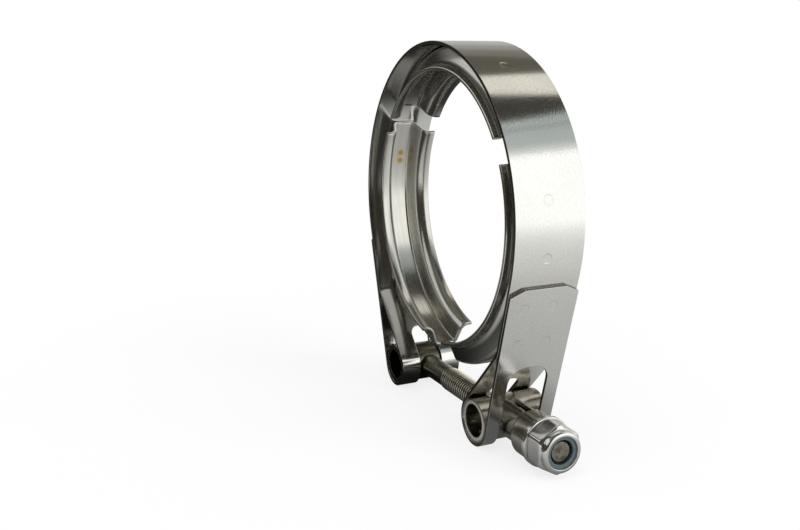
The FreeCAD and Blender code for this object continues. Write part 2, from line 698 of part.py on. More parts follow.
nylon = new_body("nylon_insert", x=NUT_X, z="-<loop_drop>")
nylon_sketch = new_sketch(nylon, "RingHalf", "XZ_Plane")
OPENED = "(<nut_height> - <tip_recess> + <nylon_edge>)"
outline(
    nylon_sketch,
    (
        ("<nylon_seat>", "<nut_bore>"),
        ("<nylon_seat>", "<nylon_radius>"),
        ("<nylon_face>", "<nylon_radius>"),
        ("<nylon_face>", "<nylon_bore> + <nylon_edge>"),
        ("<nylon_face> - <nylon_edge>", "<nylon_bore>"),
        (OPENED, "<nylon_bore>"),
        (OPENED, "<nut_bore>"),
    ),
)
spun(nylon, "Ring", "Revolution", nylon_sketch)

# Every object has to recompute, and every body has to be one valid solid.
doc.recompute()
for thing in doc.Objects:
    if "Invalid" in thing.State or "Error" in thing.State:
        raise RuntimeError(f"{thing.Label} didn't recompute: {thing.getStatusString()}")

bodies = [thing for thing in doc.Objects if thing.TypeId == "PartDesign::Body"]
for body in bodies:
    shape = body.Shape
    if shape.isNull() or not shape.isValid() or len(shape.Solids) != 1:
        raise RuntimeError(f"{body.Label} isn't one valid solid")

os.makedirs("parts", exist_ok=True)
for body in bodies:
    body.Shape.exportStep(f"parts/{body.Label}.step")
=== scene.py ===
# %% [markdown]
# # A V-band clamp in brushed stainless steel
#
# A V-band clamp holds the ends of two pipes together. A steel band carries three rolled V
# sections, and a T-bolt between the band's two loops draws it tight. The exact frame comes from
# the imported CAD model. This lesson gives it what makes sheet steel look real: softly broken
# edges, spot-weld marks, a real thread, a brushed grain, and a studio for the metal to mirror.

import math

import bmesh
import bpy
import numpy as np
from mathutils import Matrix, Vector


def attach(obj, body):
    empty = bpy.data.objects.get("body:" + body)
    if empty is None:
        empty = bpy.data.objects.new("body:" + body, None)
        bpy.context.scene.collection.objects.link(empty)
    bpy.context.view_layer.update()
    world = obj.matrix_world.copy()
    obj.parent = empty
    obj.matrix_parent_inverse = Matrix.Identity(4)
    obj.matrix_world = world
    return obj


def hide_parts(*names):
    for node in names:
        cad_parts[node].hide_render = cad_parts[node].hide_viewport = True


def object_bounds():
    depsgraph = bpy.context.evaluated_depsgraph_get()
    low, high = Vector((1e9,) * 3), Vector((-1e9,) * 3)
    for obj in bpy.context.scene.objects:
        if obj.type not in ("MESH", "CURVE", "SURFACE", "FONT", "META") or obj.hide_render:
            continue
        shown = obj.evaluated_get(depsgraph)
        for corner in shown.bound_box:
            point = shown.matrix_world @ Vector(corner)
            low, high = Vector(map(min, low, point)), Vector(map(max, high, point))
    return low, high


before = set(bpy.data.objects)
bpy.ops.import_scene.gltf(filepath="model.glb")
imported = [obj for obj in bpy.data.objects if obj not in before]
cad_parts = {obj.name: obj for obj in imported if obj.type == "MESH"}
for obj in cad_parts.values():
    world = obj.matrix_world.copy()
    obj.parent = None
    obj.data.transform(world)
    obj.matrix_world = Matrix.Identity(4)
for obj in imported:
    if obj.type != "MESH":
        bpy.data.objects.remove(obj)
cad_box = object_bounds()
print("CAD nodes:", ", ".join(sorted(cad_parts)))

# %% [markdown]
# ## Where the camera stands
#
# Blender works in metres and the clamp is small, so its sizes below are in millimetres, and MM
# turns them into metres. The camera looks at the clamp from its right and a little from above.
# It is described as a photographer would: round to the side, up, back, and then a small slide of
# the whole camera so that the clamp sits right of the middle of the picture.

# %% The camera
MM = 0.001
PICTURE = (800, 530)
CAMERA_ROUND, CAMERA_UP, CAMERA_ROLL = (math.radians(a) for a in (66.04, 12.25, -0.64))
CAMERA_BACK = 275.2 * MM
CAMERA_SLIDE = (-19.27 * MM, -18.61 * MM)
FOCAL_PIXELS = 865.9


def add_camera():
    """A camera whose axes come from two angles and a roll.

    Its backward axis points from the origin to the camera. The sideways axis is level, and the
    upward axis is their cross product. The roll turns those two about the backward axis.
    """
    backward = Vector((math.sin(CAMERA_ROUND) * math.cos(CAMERA_UP),
                       -math.cos(CAMERA_ROUND) * math.cos(CAMERA_UP), math.sin(CAMERA_UP)))
    level = Vector((math.cos(CAMERA_ROUND), math.sin(CAMERA_ROUND), 0))
    upward = backward.cross(level)
    sideways = level * math.cos(CAMERA_ROLL) + upward * math.sin(CAMERA_ROLL)
    upward = backward.cross(sideways)
    data = bpy.data.cameras.new("photo_camera")
    data.sensor_width = 36
    data.lens = FOCAL_PIXELS * data.sensor_width / PICTURE[0]
    data.clip_start = 0.01
    camera = bpy.data.objects.new("photo_camera", data)
    bpy.context.scene.collection.objects.link(camera)
    place = backward * CAMERA_BACK + sideways * CAMERA_SLIDE[0] + upward * CAMERA_SLIDE[1]
    turn = Matrix((sideways, upward, backward)).transposed().to_4x4()
    camera.matrix_world = Matrix.Translation(place) @ turn
    bpy.context.scene.camera = camera
    return camera


camera = add_camera()
print("Camera at", [round(x, 4) for x in camera.matrix_world.translation])

# %% [markdown]
# ## From arrays to meshes
#
# Every new piece is a surface worked out with numpy. A surface is a grid of points, rows by
# columns, and its faces join each point to its next neighbours. A direction that closes on
# itself, such as the way round a bolt, joins its last row or column to its first.

# %% Grid and mesh helpers
def grid_faces(rows, columns, close_rows=False, close_columns=False):
    """Quads of a grid whose points are numbered row by row, as an array of four indices."""
    i, j = np.meshgrid(np.arange(rows - (not close_rows)), np.arange(columns - (not close_columns)),
                       indexing="ij")
    i, j = i.ravel(), j.ravel()
    below, right = (i + 1) % rows, (j + 1) % columns
    here, under = i * columns, below * columns
    return np.stack([here + j, here + right, under + right, under + j], 1)


def make_piece(name, points, faces, body, material, replaced=(), strip=None, fields=None):
    """A mesh object from points in millimetres.

    strip is a per-point pair for its UV map, and fields are per-point numbers by name.
    """
    mesh = bpy.data.meshes.new(name)
    mesh.from_pydata((np.asarray(points) * MM).tolist(), [], [list(f) for f in faces])
    mesh.polygons.foreach_set("use_smooth", np.ones(len(mesh.polygons), bool))
    if strip is not None:
        corners = np.empty(len(mesh.loops), np.int32)
        mesh.loops.foreach_get("vertex_index", corners)
        layer = mesh.uv_layers.new(name="strip")
        layer.data.foreach_set("uv", (np.asarray(strip) * MM)[corners].astype(np.float32).ravel())
    for field, numbers in (fields or {}).items():
        values = np.asarray(numbers, np.float32).ravel()
        mesh.attributes.new(field, "FLOAT", "POINT").data.foreach_set("value", values)
    mesh.materials.append(material)
    mesh.update()
    piece = bpy.data.objects.new(name, mesh)
    bpy.context.scene.collection.objects.link(piece)
    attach(piece, body)
    if replaced:
        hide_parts(*replaced)
    print(f"{name}: {len(mesh.vertices)} points, {len(mesh.polygons)} faces")
    return piece


def clean(piece, distance=0.01):
    """Merge doubled points and turn every face outwards."""
    bm = bmesh.new()
    bm.from_mesh(piece.data)
    bmesh.ops.remove_doubles(bm, verts=bm.verts, dist=distance * MM)
    bmesh.ops.recalc_face_normals(bm, faces=bm.faces)
    bm.to_mesh(piece.data)
    bm.free()
    piece.data.update()


print("a grid of 3 by 4 points has", len(grid_faces(3, 4)), "faces")

# %% [markdown]
# ## Nodes in few words
#
# A finish is a small network of nodes: noise, arithmetic and colours that end in a metal shader.
# Each node could be made and linked by hand in a few lines. The class below makes it one line,
# so that the finishes further down read like formulas. The functions after it start a metal, and
# lay a colour or a relief over what it has so far.

# %% Node helpers
class Nodes:
    """Short ways to add nodes to the tree of one material or world."""

    def __init__(self, owner):
        self.tree = owner.node_tree

    def add(self, kind, inputs=None, **settings):
        """A node. Each of its inputs is given as another node's socket or as a plain value."""
        made = self.tree.nodes.new("ShaderNode" + kind)
        for key, setting in settings.items():
            setattr(made, key, setting)
        for key, source in (inputs or {}).items():
            if isinstance(source, bpy.types.NodeSocket):
                self.tree.links.new(source, made.inputs[key])
            else:
                made.inputs[key].default_value = source
        return made

    def place(self, kind="Object"):
        """Where a point of the surface is: in Object coordinates or in its UV map."""
        return self.add("TexCoord").outputs[kind]

    def axis(self, place, letter):
        """One of a place's three numbers."""
        return self.add("SeparateXYZ", {0: place}).outputs[letter]

    def math(self, operation, *sources, **settings):
        """The result of one step of arithmetic."""
        made = self.add("Math", dict(enumerate(sources)), operation=operation, **settings)
        return made.outputs[0]

    def vector(self, operation, *sources):
        """The same for vectors. A length, a distance and a dot product are plain numbers."""
        made = self.add("VectorMath", dict(enumerate(sources)), operation=operation)
        return made.outputs[1 if operation in ("LENGTH", "DISTANCE", "DOT_PRODUCT") else 0]

    def fade(self, value, start, end, first=0.0, last=1.0, kind="LINEAR"):
        """A number that goes from first to last while the value goes from start to end."""
        inputs = dict(zip(("Value", "From Min", "From Max", "To Min", "To Max"),
                          (value, start, end, first, last)))
        return self.add("MapRange", inputs, interpolation_type=kind).outputs[0]

    def noise(self, place, scale, detail, roughness=0.5):
        """Soft random patches, of which there are about scale per unit of the place."""
        inputs = {"Vector": place, "Scale": scale, "Detail": detail, "Roughness": roughness}
        return self.add("TexNoise", inputs).outputs[0]


def new_metal(name):
    """A material with a metal shader and nothing else, and the shader."""
    material = bpy.data.materials.new(name)
    material.use_nodes = True
    shader = material.node_tree.nodes["Principled BSDF"]
    shader.inputs["Metallic"].default_value = 1.0
    return material, shader


def blend_colour(material, factor, colour):
    """Mix a colour into the metal's colour so far. factor is a socket that runs from 0 to 1."""
    base = material.node_tree.nodes["Principled BSDF"].inputs["Base Color"]
    before = base.links[0].from_socket if base.is_linked else tuple(base.default_value)
    mix = Nodes(material).add("Mix", {0: factor, 6: before, 7: (*colour, 1)}, data_type="RGBA")
    material.node_tree.links.new(mix.outputs[2], base)


def add_relief(material, height, depth):
    """Lay a bump over the relief so far. depth in millimetres is the height of a step of 1."""
    normal = material.node_tree.nodes["Principled BSDF"].inputs["Normal"]
    inputs = {"Height": height, "Distance": depth * MM}
    if normal.is_linked:
        inputs["Normal"] = normal.links[0].from_socket
    bump = Nodes(material).add("Bump", inputs)
    material.node_tree.links.new(bump.outputs[0], normal)


print("node helpers ready")

# %% [markdown]
# ## Bare steel
#
# Every piece but one is bare steel. The strip is brushed lengthwise, the retainers carry the
# lines of the rolls, and the bolt and the barrels are dull from the bath. So the noise that
# drives the roughness is stretched along the lines, and larger, fainter noise adds the uneven
# bloom of handled steel. A material could be copied and changed by hand for each piece. One
# function makes them all, and shows in one line each what differs.

# %% Bare steel
RING_REACH = 50 * MM
PATCHES, SPARKS = 55.0, 2500.0  # per metre
PATCH_SHADE, LINE_SHADE = 0.82, 0.6  # how dark they are, of the metal's own colour


def around_ring(nodes):
    """A place on the ring: the arc's length to it, its reach outwards plus its y, and its y.

    With the sum, lines along the ring show on the floor of the V as well as on its legs.
    """
    where = nodes.place()
    turn = nodes.math("ARCTAN2", nodes.axis(where, "Z"), nodes.axis(where, "X"))
    along = nodes.math("MULTIPLY", turn, RING_REACH)
    reach = nodes.vector("LENGTH", nodes.vector("MULTIPLY", where, (1, 0, 1)))
    across = nodes.axis(where, "Y")
    outwards = nodes.math("ADD", across, reach)
    return nodes.add("CombineXYZ", {0: along, 1: outwards, 2: across}).outputs[0]


def steel(name, colour, rough, grain, lines, place="Object", bloom=0.05, sparkle=0.0, edge=0.0):
    """A metal whose roughness follows fine lines and large soft patches.

    grain is how far the lines move the roughness up and down, and lines is how many there are
    per metre in each direction of the place. bloom does the same for the patches, which also
    make the colour a little darker, as the lines do. sparkle is the height in millimetres of a
    fine relief. edge is the radius in millimetres to which sharp edges look broken.
    """
    material, shader = new_metal(name)
    nodes = Nodes(material)
    spot = around_ring(nodes) if place == "ring" else nodes.place(place)
    stretched = nodes.add("Mapping", {"Vector": spot, "Scale": lines}).outputs[0]
    brushed = nodes.noise(stretched, 1.0, 3.0, roughness=0.6)
    patches = nodes.noise(nodes.place(), PATCHES, 4.0, roughness=0.6)
    fine = nodes.fade(brushed, 0.25, 0.75, rough - grain, rough + grain)
    soft = nodes.fade(patches, 0.3, 0.7, -bloom, bloom)
    total = nodes.math("ADD", fine, soft, use_clamp=True)
    nodes.tree.links.new(total, shader.inputs["Roughness"])
    shader.inputs["Base Color"].default_value = (*colour, 1)
    blend_colour(material, patches, [PATCH_SHADE * c for c in colour])
    dark_lines = nodes.fade(brushed, 0.35, 0.65, last=0.3)
    blend_colour(material, dark_lines, [LINE_SHADE * c for c in colour])
    if edge:
        rounded = nodes.add("Bevel", {"Radius": edge * MM}, samples=6).outputs[0]
        nodes.tree.links.new(rounded, shader.inputs["Normal"])
    if sparkle:
        add_relief(material, nodes.noise(spot, SPARKS, 2.0), sparkle)
    return material


band_steel = steel("band_steel", (0.82, 0.815, 0.79), 0.125, 0.07, (1300, 2100, 1500),
                   place="UV", bloom=0.02, sparkle=0.012)
# The band's cut edges are rougher sheared steel, and their very dark colour is painted shade.
sheared_steel_and_shade = steel("sheared_steel_and_shade", (0.13, 0.12, 0.095), 0.34, 0.08, (1200,) * 3, sparkle=0.02)
retainer_steel = steel("retainer_steel", (0.66, 0.65, 0.61), 0.18, 0.05, (30, 1500, 1500),
                       place="ring", sparkle=0.014)
trunnion_steel = steel("trunnion_steel", (0.52, 0.49, 0.42), 0.20, 0.06, (700,) * 3,
                       sparkle=0.02, edge=0.35)
# The bolt barrel's steel is a darker copy of the trunnion's: partly a darker finish, and partly
# painted shade of its place between the band's legs.
barrel_steel_and_shade = steel("barrel_steel_and_shade", (0.19, 0.175, 0.14), 0.24, 0.06, (700,) * 3,
                     sparkle=0.02, edge=0.35)
bolt_steel = steel("bolt_steel", (0.36, 0.335, 0.28), 0.24, 0.06, (300, 1500, 1500),
                   bloom=0.08, sparkle=0.03)
nut_steel = steel("nut_steel", (0.82, 0.815, 0.80), 0.11, 0.04, (500,) * 3,
                  bloom=0.03, sparkle=0.004)
washer_steel = steel("washer_steel", (0.80, 0.795, 0.77), 0.15, 0.04, (500,) * 3,
                     bloom=0.03, sparkle=0.004)
print("eight kinds of steel")

# %% [markdown]
# ## Weld marks and heat
#
# A spot weld leaves a rim with a faint brown ring, and its heat shows as gold and brown spots on
# the other side of the sheet. They could be painted on a picture, which would need a UV map for
# each piece. Here each mark follows a distance that the shader can work out.

# %% Weld marks and heat
WELD_TINT, GOLD, BROWN = (0.30, 0.26, 0.20), (0.62, 0.44, 0.14), (0.26, 0.15, 0.07)
WALL = {"start": 1.2, "end": 1.55, "height": 0.06}
STAIN = {"at": 1.45, "half": 0.05, "edge": 0.35, "share": 0.15}
HEAT_SPOTS = {"reach": 48.8, "angles": (163.8, 167.2), "across": 0.3, "radius": 1.9}


def weld_marks(material):
    """Sharp rims of the weld marks and their faint heat stain.

    The attribute weld is the distance in millimetres to the nearest mark's centre. The wall of
    the dish is a smooth step of it, and the stain is a thin ring at the same place.
    """
    nodes = Nodes(material)
    far = nodes.add("Attribute", attribute_name="weld").outputs["Fac"]
    wall = nodes.fade(far, WALL["start"], WALL["end"], kind="SMOOTHSTEP")
    add_relief(material, wall, WALL["height"])
    off = nodes.math("ABSOLUTE", nodes.math("SUBTRACT", far, STAIN["at"]))
    stain = nodes.fade(off, STAIN["half"], STAIN["edge"], STAIN["share"], 0.0)
    blend_colour(material, stain, WELD_TINT)


def heat_spots(material, reach, angles, across, radius):
    """Gold stains with a brown middle, on the ring at angles in degrees from +X."""
    nodes = Nodes(material)
    for angle in map(math.radians, angles):
        centre = [c * MM for c in (reach * math.cos(angle), across, reach * math.sin(angle))]
        far = nodes.vector("DISTANCE", nodes.place(), centre)
        for size, share, colour in ((radius, 0.6, GOLD), (radius * 0.6, 0.55, BROWN)):
            spot = nodes.fade(far, size * 0.6 * MM, size * MM, share, 0.0, kind="SMOOTHSTEP")
            blend_colour(material, spot, colour)


weld_marks(band_steel)
heat_spots(retainer_steel, **HEAT_SPOTS)
print("weld marks on the band, and", len(HEAT_SPOTS["angles"]), "heat spots on the retainers")

# %% [markdown]
# ## Painted shade, painted highlights and pits
#
# The thread's roots carry painted shade and its crests a painted highlight, the bolt's end is
# pitted where the bar was cropped, and the trunnion's near end carries a pale ring, a painted
# highlight where a chamfer would catch light. A brush in Texture Paint could lay all three on by
# hand. The distance to the bolt's or the barrel's axis puts them in the right place by itself,
# and stays sharp however close the camera comes.

# %% Painted shade, painted highlights and pits
# A painted highlight on the thread's crests and painted shade in its roots
PAINTED_CREST_HIGHLIGHT, PAINTED_ROOT_SHADE = (0.86, 0.82, 0.72), (0.05, 0.043, 0.03)
# The pale ring on the trunnion's near end is a painted highlight where a chamfer would catch light
PIT, PAINTED_END_HIGHLIGHT = (0.10, 0.09, 0.07), (0.80, 0.79, 0.74)
BOLT_Z = -59.8
THREADED = {"root": 3.6, "crest": 3.9, "start": -7.0, "end": 56.0, "fading": 1.5}
CROPPED_AT = 58.35
END_HIGHLIGHT_RING = {"centre": (28.898, BOLT_Z), "inner": 5.1, "outer": 6.1}


def thread_contrast(material, root, crest, start, end, fading):
    """Painted shade below one distance from the bolt's axis, and a painted highlight beyond
    another.

    Both appear only on the threaded stretch, from start to end, and fade out past its ends.
    """
    nodes = Nodes(material)
    where = nodes.place()
    from_axis = nodes.vector("MULTIPLY_ADD", where, (0, 1, 1), (0, 0, -BOLT_Z * MM))
    height = nodes.fade(nodes.vector("LENGTH", from_axis), root * MM, crest * MM)
    off = nodes.math("ADD", nodes.axis(where, "X"), -(start + end) / 2 * MM)
    half = (end - start) / 2
    threaded = nodes.fade(nodes.math("ABSOLUTE", off), half * MM, (half + fading) * MM, 1.0, 0.0)
    depth = nodes.math("SUBTRACT", 1.0, height)
    # The crests get a painted highlight, and the roots get painted shade.
    for share, colour in ((height, PAINTED_CREST_HIGHLIGHT), (depth, PAINTED_ROOT_SHADE)):
        blend_colour(material, nodes.math("MULTIPLY", share, threaded), colour)


def cropped_end(material, start):
    """Pits in the end of a cropped bar, as dark specks past a place along the bolt's axis."""
    nodes = Nodes(material)
    where = nodes.place()
    past = nodes.fade(nodes.axis(where, "X"), (start - 0.1) * MM, start * MM)
    pits = nodes.fade(nodes.noise(where, 620.0, 4.0), 0.47, 0.64, last=0.8)
    blend_colour(material, nodes.math("MULTIPLY", past, pits), PIT)


def end_ring_highlight(material, centre, inner, outer):
    """A pale ring on a barrel's near end, between two distances from its axis.

    It is where the face looks towards -Y and the distance lies between the two radii. There the
    metal is lighter, a painted highlight where a chamfer would catch light, and partly matt.
    """
    nodes = Nodes(material)
    x, z = centre
    from_axis = nodes.vector("MULTIPLY_ADD", nodes.place(), (1, 0, 1), (-x * MM, 0, -z * MM))
    off = nodes.math("ADD", nodes.vector("LENGTH", from_axis), -(inner + outer) / 2 * MM)
    half = (outer - inner) / 2 * MM
    ring = nodes.fade(nodes.math("ABSOLUTE", off), half * 0.75, half * 1.1, 1.0, 0.0)
    facing = nodes.axis(nodes.add("NewGeometry").outputs["True Normal"], "Y")
    share = nodes.math("MULTIPLY", ring, nodes.fade(facing, -0.95, -0.8, 0.5, 0.0))
    # The lighter colour is a painted highlight. The lower metal share below makes the face partly
    # matt.
    blend_colour(material, share, PAINTED_END_HIGHLIGHT)
    shader = nodes.tree.nodes["Principled BSDF"]
    nodes.tree.links.new(nodes.fade(share, 0.0, 1.0, 1.0, 0.35), shader.inputs["Metallic"])


thread_contrast(bolt_steel, **THREADED)
cropped_end(bolt_steel, CROPPED_AT)
end_ring_highlight(trunnion_steel, **END_HIGHLIGHT_RING)
# The thread's shade and highlights and the trunnion's pale ring are painted light.
print("painted shade and highlights on the thread, pits in the bolt's end, a painted pale ring on the trunnion")

# %% [markdown]
# ## Nylon, and a finish for every node
#
# The ring that locks the nut is blue-grey nylon, a plastic that is slightly rough and mottled.
# Subsurface light would suit a thick block of it, but this ring is thin and lies in shade, so a
# plain shader does. Each node of the frame then gets its finish, also those that a new piece
# will replace, so that nothing shows the plain colour of the frame.

# %% Nylon and the finishes
NYLON, PALE_NYLON = (0.05, 0.073, 0.082), (0.09, 0.12, 0.13)


def nylon_finish():
    """Blue-grey nylon: a slightly rough plastic with a faint mottling of its colour."""
    material, shader = new_metal("nylon")
    shader.inputs["Metallic"].default_value = 0.0
    shader.inputs["Roughness"].default_value = 0.42
    shader.inputs["Base Color"].default_value = (*NYLON, 1)
    nodes = Nodes(material)
    blend_colour(material, nodes.noise(nodes.place(), 900.0, 2.0), PALE_NYLON)
    return material


nylon = nylon_finish()
FINISHES = {
    "outer_band": band_steel, "top_retainer": retainer_steel, "left_retainer": retainer_steel,
    "right_retainer": retainer_steel, "bolt_barrel": barrel_steel_and_shade, "t_bolt": bolt_steel,
    "nut_trunnion": trunnion_steel, "flat_washer": washer_steel, "lock_nut": nut_steel,
    "nylon_insert": nylon,
}
for node_name, finish in FINISHES.items():
    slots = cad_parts[node_name].data.materials
    slots.clear()
    slots.append(finish)
print("finishes:", ", ".join(sorted({m.name for m in FINISHES.values()})))

# %% [markdown]
# ## The band: a blank cut flat and then rolled
#
# The real band starts as a flat strip. A press cuts the two long slots and clips the ends, and
# then the strip is rolled into a ring and folded round the barrels. The model is made in the
# same order, because slots and clipped corners are easy to draw on a flat sheet. One function
# then carries every flat point to its place: its distance along the strip tells how far round
# the bends it has come.

# %% The strip's path
# lean is the laps' angle in degrees, drop the barrels' depth below the ring's centre, lap the
# length of a lap, and tail how far past the end of the ring's arc the outer ply ends.
BAND = {"radius": 50.0, "thick": 1.0, "width": 22.0, "gap": 0.12, "lean": 16.3, "drop": 59.8,
        "lap": 21.5, "tail": 1.4, "bend": 3.0, "barrel": 6.6, "clip_along": 2.0, "clip_across": 4.4}


def path_runs():
    """The right half of the strip's middle line, as (length, curvature) from the ring's top.

    It runs clockwise: the ring's arc, the straight lap, the bend inwards, the leg down to the
    barrel, the wrap under it and the outer ply up to its tail. Turning right is positive. The
    leg is the common inner tangent of the bend's circle and the wrap's circle.
    """
    lean = math.radians(BAND["lean"])
    out = np.array([math.cos(lean), -math.sin(lean)])
    down = np.array([-math.sin(lean), -math.cos(lean)])
    half = BAND["thick"] / 2
    ring, bend, wrap = BAND["radius"] + half, BAND["bend"] + half, BAND["barrel"] + half
    ply = BAND["radius"] + BAND["thick"] + BAND["gap"]
    barrel_x = (ply - BAND["barrel"] - BAND["drop"] * math.sin(lean)) / math.cos(lean)
    barrel = np.array([barrel_x, -BAND["drop"]])
    bend_centre = out * (ring - bend) + down * BAND["lap"]
    between = barrel - bend_centre
    reach = math.hypot(*between)
    heading = math.atan2(between[1], between[0]) - math.asin((bend + wrap) / reach)
    leg = math.sqrt(reach ** 2 - (bend + wrap) ** 2)
    down_heading = math.atan2(down[1], down[0])
    bend_turn = down_heading - heading
    wrap_turn = (math.atan2(-down[1], -down[0]) - heading) % (2 * math.pi)
    outer = float(barrel @ down) - BAND["tail"]
    runs = [(ring * (math.pi / 2 + lean), 1 / ring), (BAND["lap"], 0.0),
            (bend * bend_turn, 1 / bend), (leg, 0.0), (wrap * wrap_turn, -1 / wrap), (outer, 0.0)]
    return runs, ring


RUNS, RING_MIDDLE = path_runs()
RUN_EDGES = np.cumsum([0] + [length for length, _ in RUNS])
HALF_STRIP = sum(length for length, _ in RUNS)


def trace_path(step=0.02):
    """The middle line by adding up small steps: its heading is the sum of curvature times step."""
    s = np.linspace(0, HALF_STRIP, int(HALF_STRIP / step) + 1)
    middle = (s[:-1] + s[1:]) / 2
    run = np.clip(np.searchsorted(RUN_EDGES, middle) - 1, 0, len(RUNS) - 1)
    curvature = np.array([c for _, c in RUNS])[run]
    ds = np.diff(s)
    heading = -np.concatenate([[0], np.cumsum(curvature * ds)])
    mid_heading = (heading[:-1] + heading[1:]) / 2
    x = np.concatenate([[0], np.cumsum(np.cos(mid_heading) * ds)])
    z = RING_MIDDLE + np.concatenate([[0], np.cumsum(np.sin(mid_heading) * ds)])
    return s, x, z, heading


PATH = trace_path()
print(f"strip: {2 * HALF_STRIP:.1f} mm long, tail ends at x {PATH[1][-1]:.2f}, z {PATH[2][-1]:.2f}")


def roll(s, y, lift):
    """Carry flat points to the rolled band: s along, y across, lift outwards from the middle."""
    side = np.where(s < 0, -1.0, 1.0)
    along = np.abs(s)
    x, z, heading = (np.interp(along, PATH[0], PATH[k]) for k in (1, 2, 3))
    out_x, out_z = -np.sin(heading), np.cos(heading)
    return np.stack([side * (x + out_x * lift), y, z + out_z * lift], -1)


# %% [markdown]
# ## Spot welds
#
# Each retainer is held to the band by spot welds, and so is each lap of the strip. A spot weld
# is pressed by a round electrode, so it leaves a shallow dish with a faint raised ring. The marks
# are real relief, a few hundredths of a millimetre deep, because they only show where a
# reflection runs over them.

# %% The weld marks
RING_WELDS = [math.radians(a) for a in (58.2, 87.5, 118, 9.4, -8.5, 171, 188, 205)]
RING_WELD_Y, LAP_WELD_Y = -0.6, (-5.9, 3.4)
LAP_WELDS = [(down, across) for down in (7.2, 18.7) for across in LAP_WELD_Y]
WELD = {"radius": 1.5, "dish": 0.014, "rim": 0.02, "rim_width": 0.25}


def ring_angle_to_strip(angle):
    """Distance along the strip from the ring's top for an angle from +X, positive to the right."""
    turned = math.pi / 2 - angle
    return RING_MIDDLE * ((turned + math.pi) % (2 * math.pi) - math.pi)


def weld_centres():
    """(s, y) of every mark on the strip's outside. Those of the laps are on the outer plies."""
    centres = [(ring_angle_to_strip(a), RING_WELD_Y) for a in RING_WELDS]
    for down, across in LAP_WELDS:
        along = HALF_STRIP - (down - BAND["tail"])
        centres += [(along, across), (-along, -across)]
    return np.array(centres)


WELDS = weld_centres()


def weld_distance(s, y):
    """Distance from every point of the flat strip to the nearest mark's centre."""
    return np.sqrt((s[..., None] - WELDS[:, 0]) ** 2 + (y[..., None] - WELDS[:, 1]) ** 2).min(-1)


def weld_relief(s, y):
    """Height of the marks: a dish inside the electrode's radius and a low ring round it."""
    far = weld_distance(s, y)
    dish = -WELD["dish"] * np.clip(1 - (far / WELD["radius"]) ** 4, 0, 1)
    rim = WELD["rim"] * np.exp(-((far - WELD["radius"]) / WELD["rim_width"]) ** 2)
    return dish + rim


print(len(WELDS), "weld marks on the band")

# %% [markdown]
# ## The flat blank
#
# A plain stretch of the strip is a grid of rows and columns. The whole sheet could have one fine
# grid, but most of it is smooth. So the rows and columns stand close together only where a weld
# mark needs them, and the tail's last rows lean to follow its clipped corners.

# %% Plain stretches of the blank
# Half widths, corner radii and the heights of the ends, for the inner and the outer ply
SLOT = {"inner_half": 4.2, "inner_corner": 3.9, "inner_top": -47.2, "outer_half": 6.6,
        "outer_corner": 5.3, "outer_top": -40.3, "margin": 2.6, "widening": 1.8}
COARSE, FINE, RING_STEP, SLOT_STEP = 0.8, 0.3, 1.0, 0.5


def spaced(low, high, coarse, fine, centres, reach=2.1, samples=6000):
    """Numbers from low to high, coarse apart, and fine apart within reach of each centre."""
    t = np.linspace(low, high, samples)
    near = np.zeros(len(t), bool)
    if len(centres):
        near = (np.abs(t[:, None] - np.asarray(centres)[None, :]) < reach).any(1)
    density = np.where(near, 1 / fine, 1 / coarse)
    count = np.concatenate([[0], np.cumsum((density[1:] + density[:-1]) / 2 * np.diff(t))])
    return np.interp(np.linspace(0, count[-1], int(math.ceil(count[-1])) + 1), count, t)


HALF_WIDTH = BAND["width"] / 2
COLUMNS = spaced(-HALF_WIDTH, HALF_WIDTH, COARSE, FINE,
                 [RING_WELD_Y, *LAP_WELD_Y, *(-y for y in LAP_WELD_Y)], reach=1.9)


def strip_at_height(z, low, high):
    """Distance along the half strip where its middle line passes a height, between two runs."""
    inside = (PATH[0] >= RUN_EDGES[low]) & (PATH[0] <= RUN_EDGES[high])
    order = np.argsort(PATH[2][inside])
    return float(np.interp(z, PATH[2][inside][order], PATH[0][inside][order]))


SLOT_START = strip_at_height(SLOT["inner_top"], 2, 4)
SLOT_END = strip_at_height(SLOT["outer_top"], 5, 6)
UNDER_BARREL = float(PATH[0][np.argmin(PATH[2])])
FRAME_START, FRAME_END = SLOT_START - SLOT["margin"], SLOT_END + SLOT["margin"]
print(f"slot from {SLOT_START:.1f} to {SLOT_END:.1f} mm along, ring ends at {RUNS[0][0]:.1f}")


def plain_patch(rows, lift_tail=False):
    """A rectangle of the blank. Its last rows follow the clipped corners if it is the tail."""
    s, y = np.meshgrid(rows, COLUMNS, indexing="ij")
    if lift_tail:
        across = BAND["clip_across"]
        clip = np.clip((np.abs(y) - (HALF_WIDTH - across)) / across, 0, 1) * BAND["clip_along"]
        share = (s - rows[0]) / (rows[-1] - rows[0])
        s = s - share ** 2 * clip
    return s, y, grid_faces(*s.shape)


print(len(COLUMNS), "columns across the band")

# %% [markdown]
# ## The frame round a slot
#
# The press punches a long slot for the bolt and the trunnion's neck, narrow at one end and wide
# at the other. A Boolean could cut it, but would leave slivers that show in a mirror finish.
# Here every point of a rectangle round the slot has a partner on the slot's edge, and the
# points between are blends of the two. The rectangle's ends use the columns of the plain grid,
# so that the patches can be welded into one sheet.

# %% The frame round a slot
def slot_half(s):
    """Half the slot's width: narrow round the bolt, wide round the neck.

    Under the barrel the share of the wider slot rises from 0 to 1 as a smooth step.
    """
    share = np.clip((s - UNDER_BARREL) / SLOT["widening"] + 0.5, 0, 1)
    wider = SLOT["outer_half"] - SLOT["inner_half"]
    return SLOT["inner_half"] + wider * share * share * (3 - 2 * share)


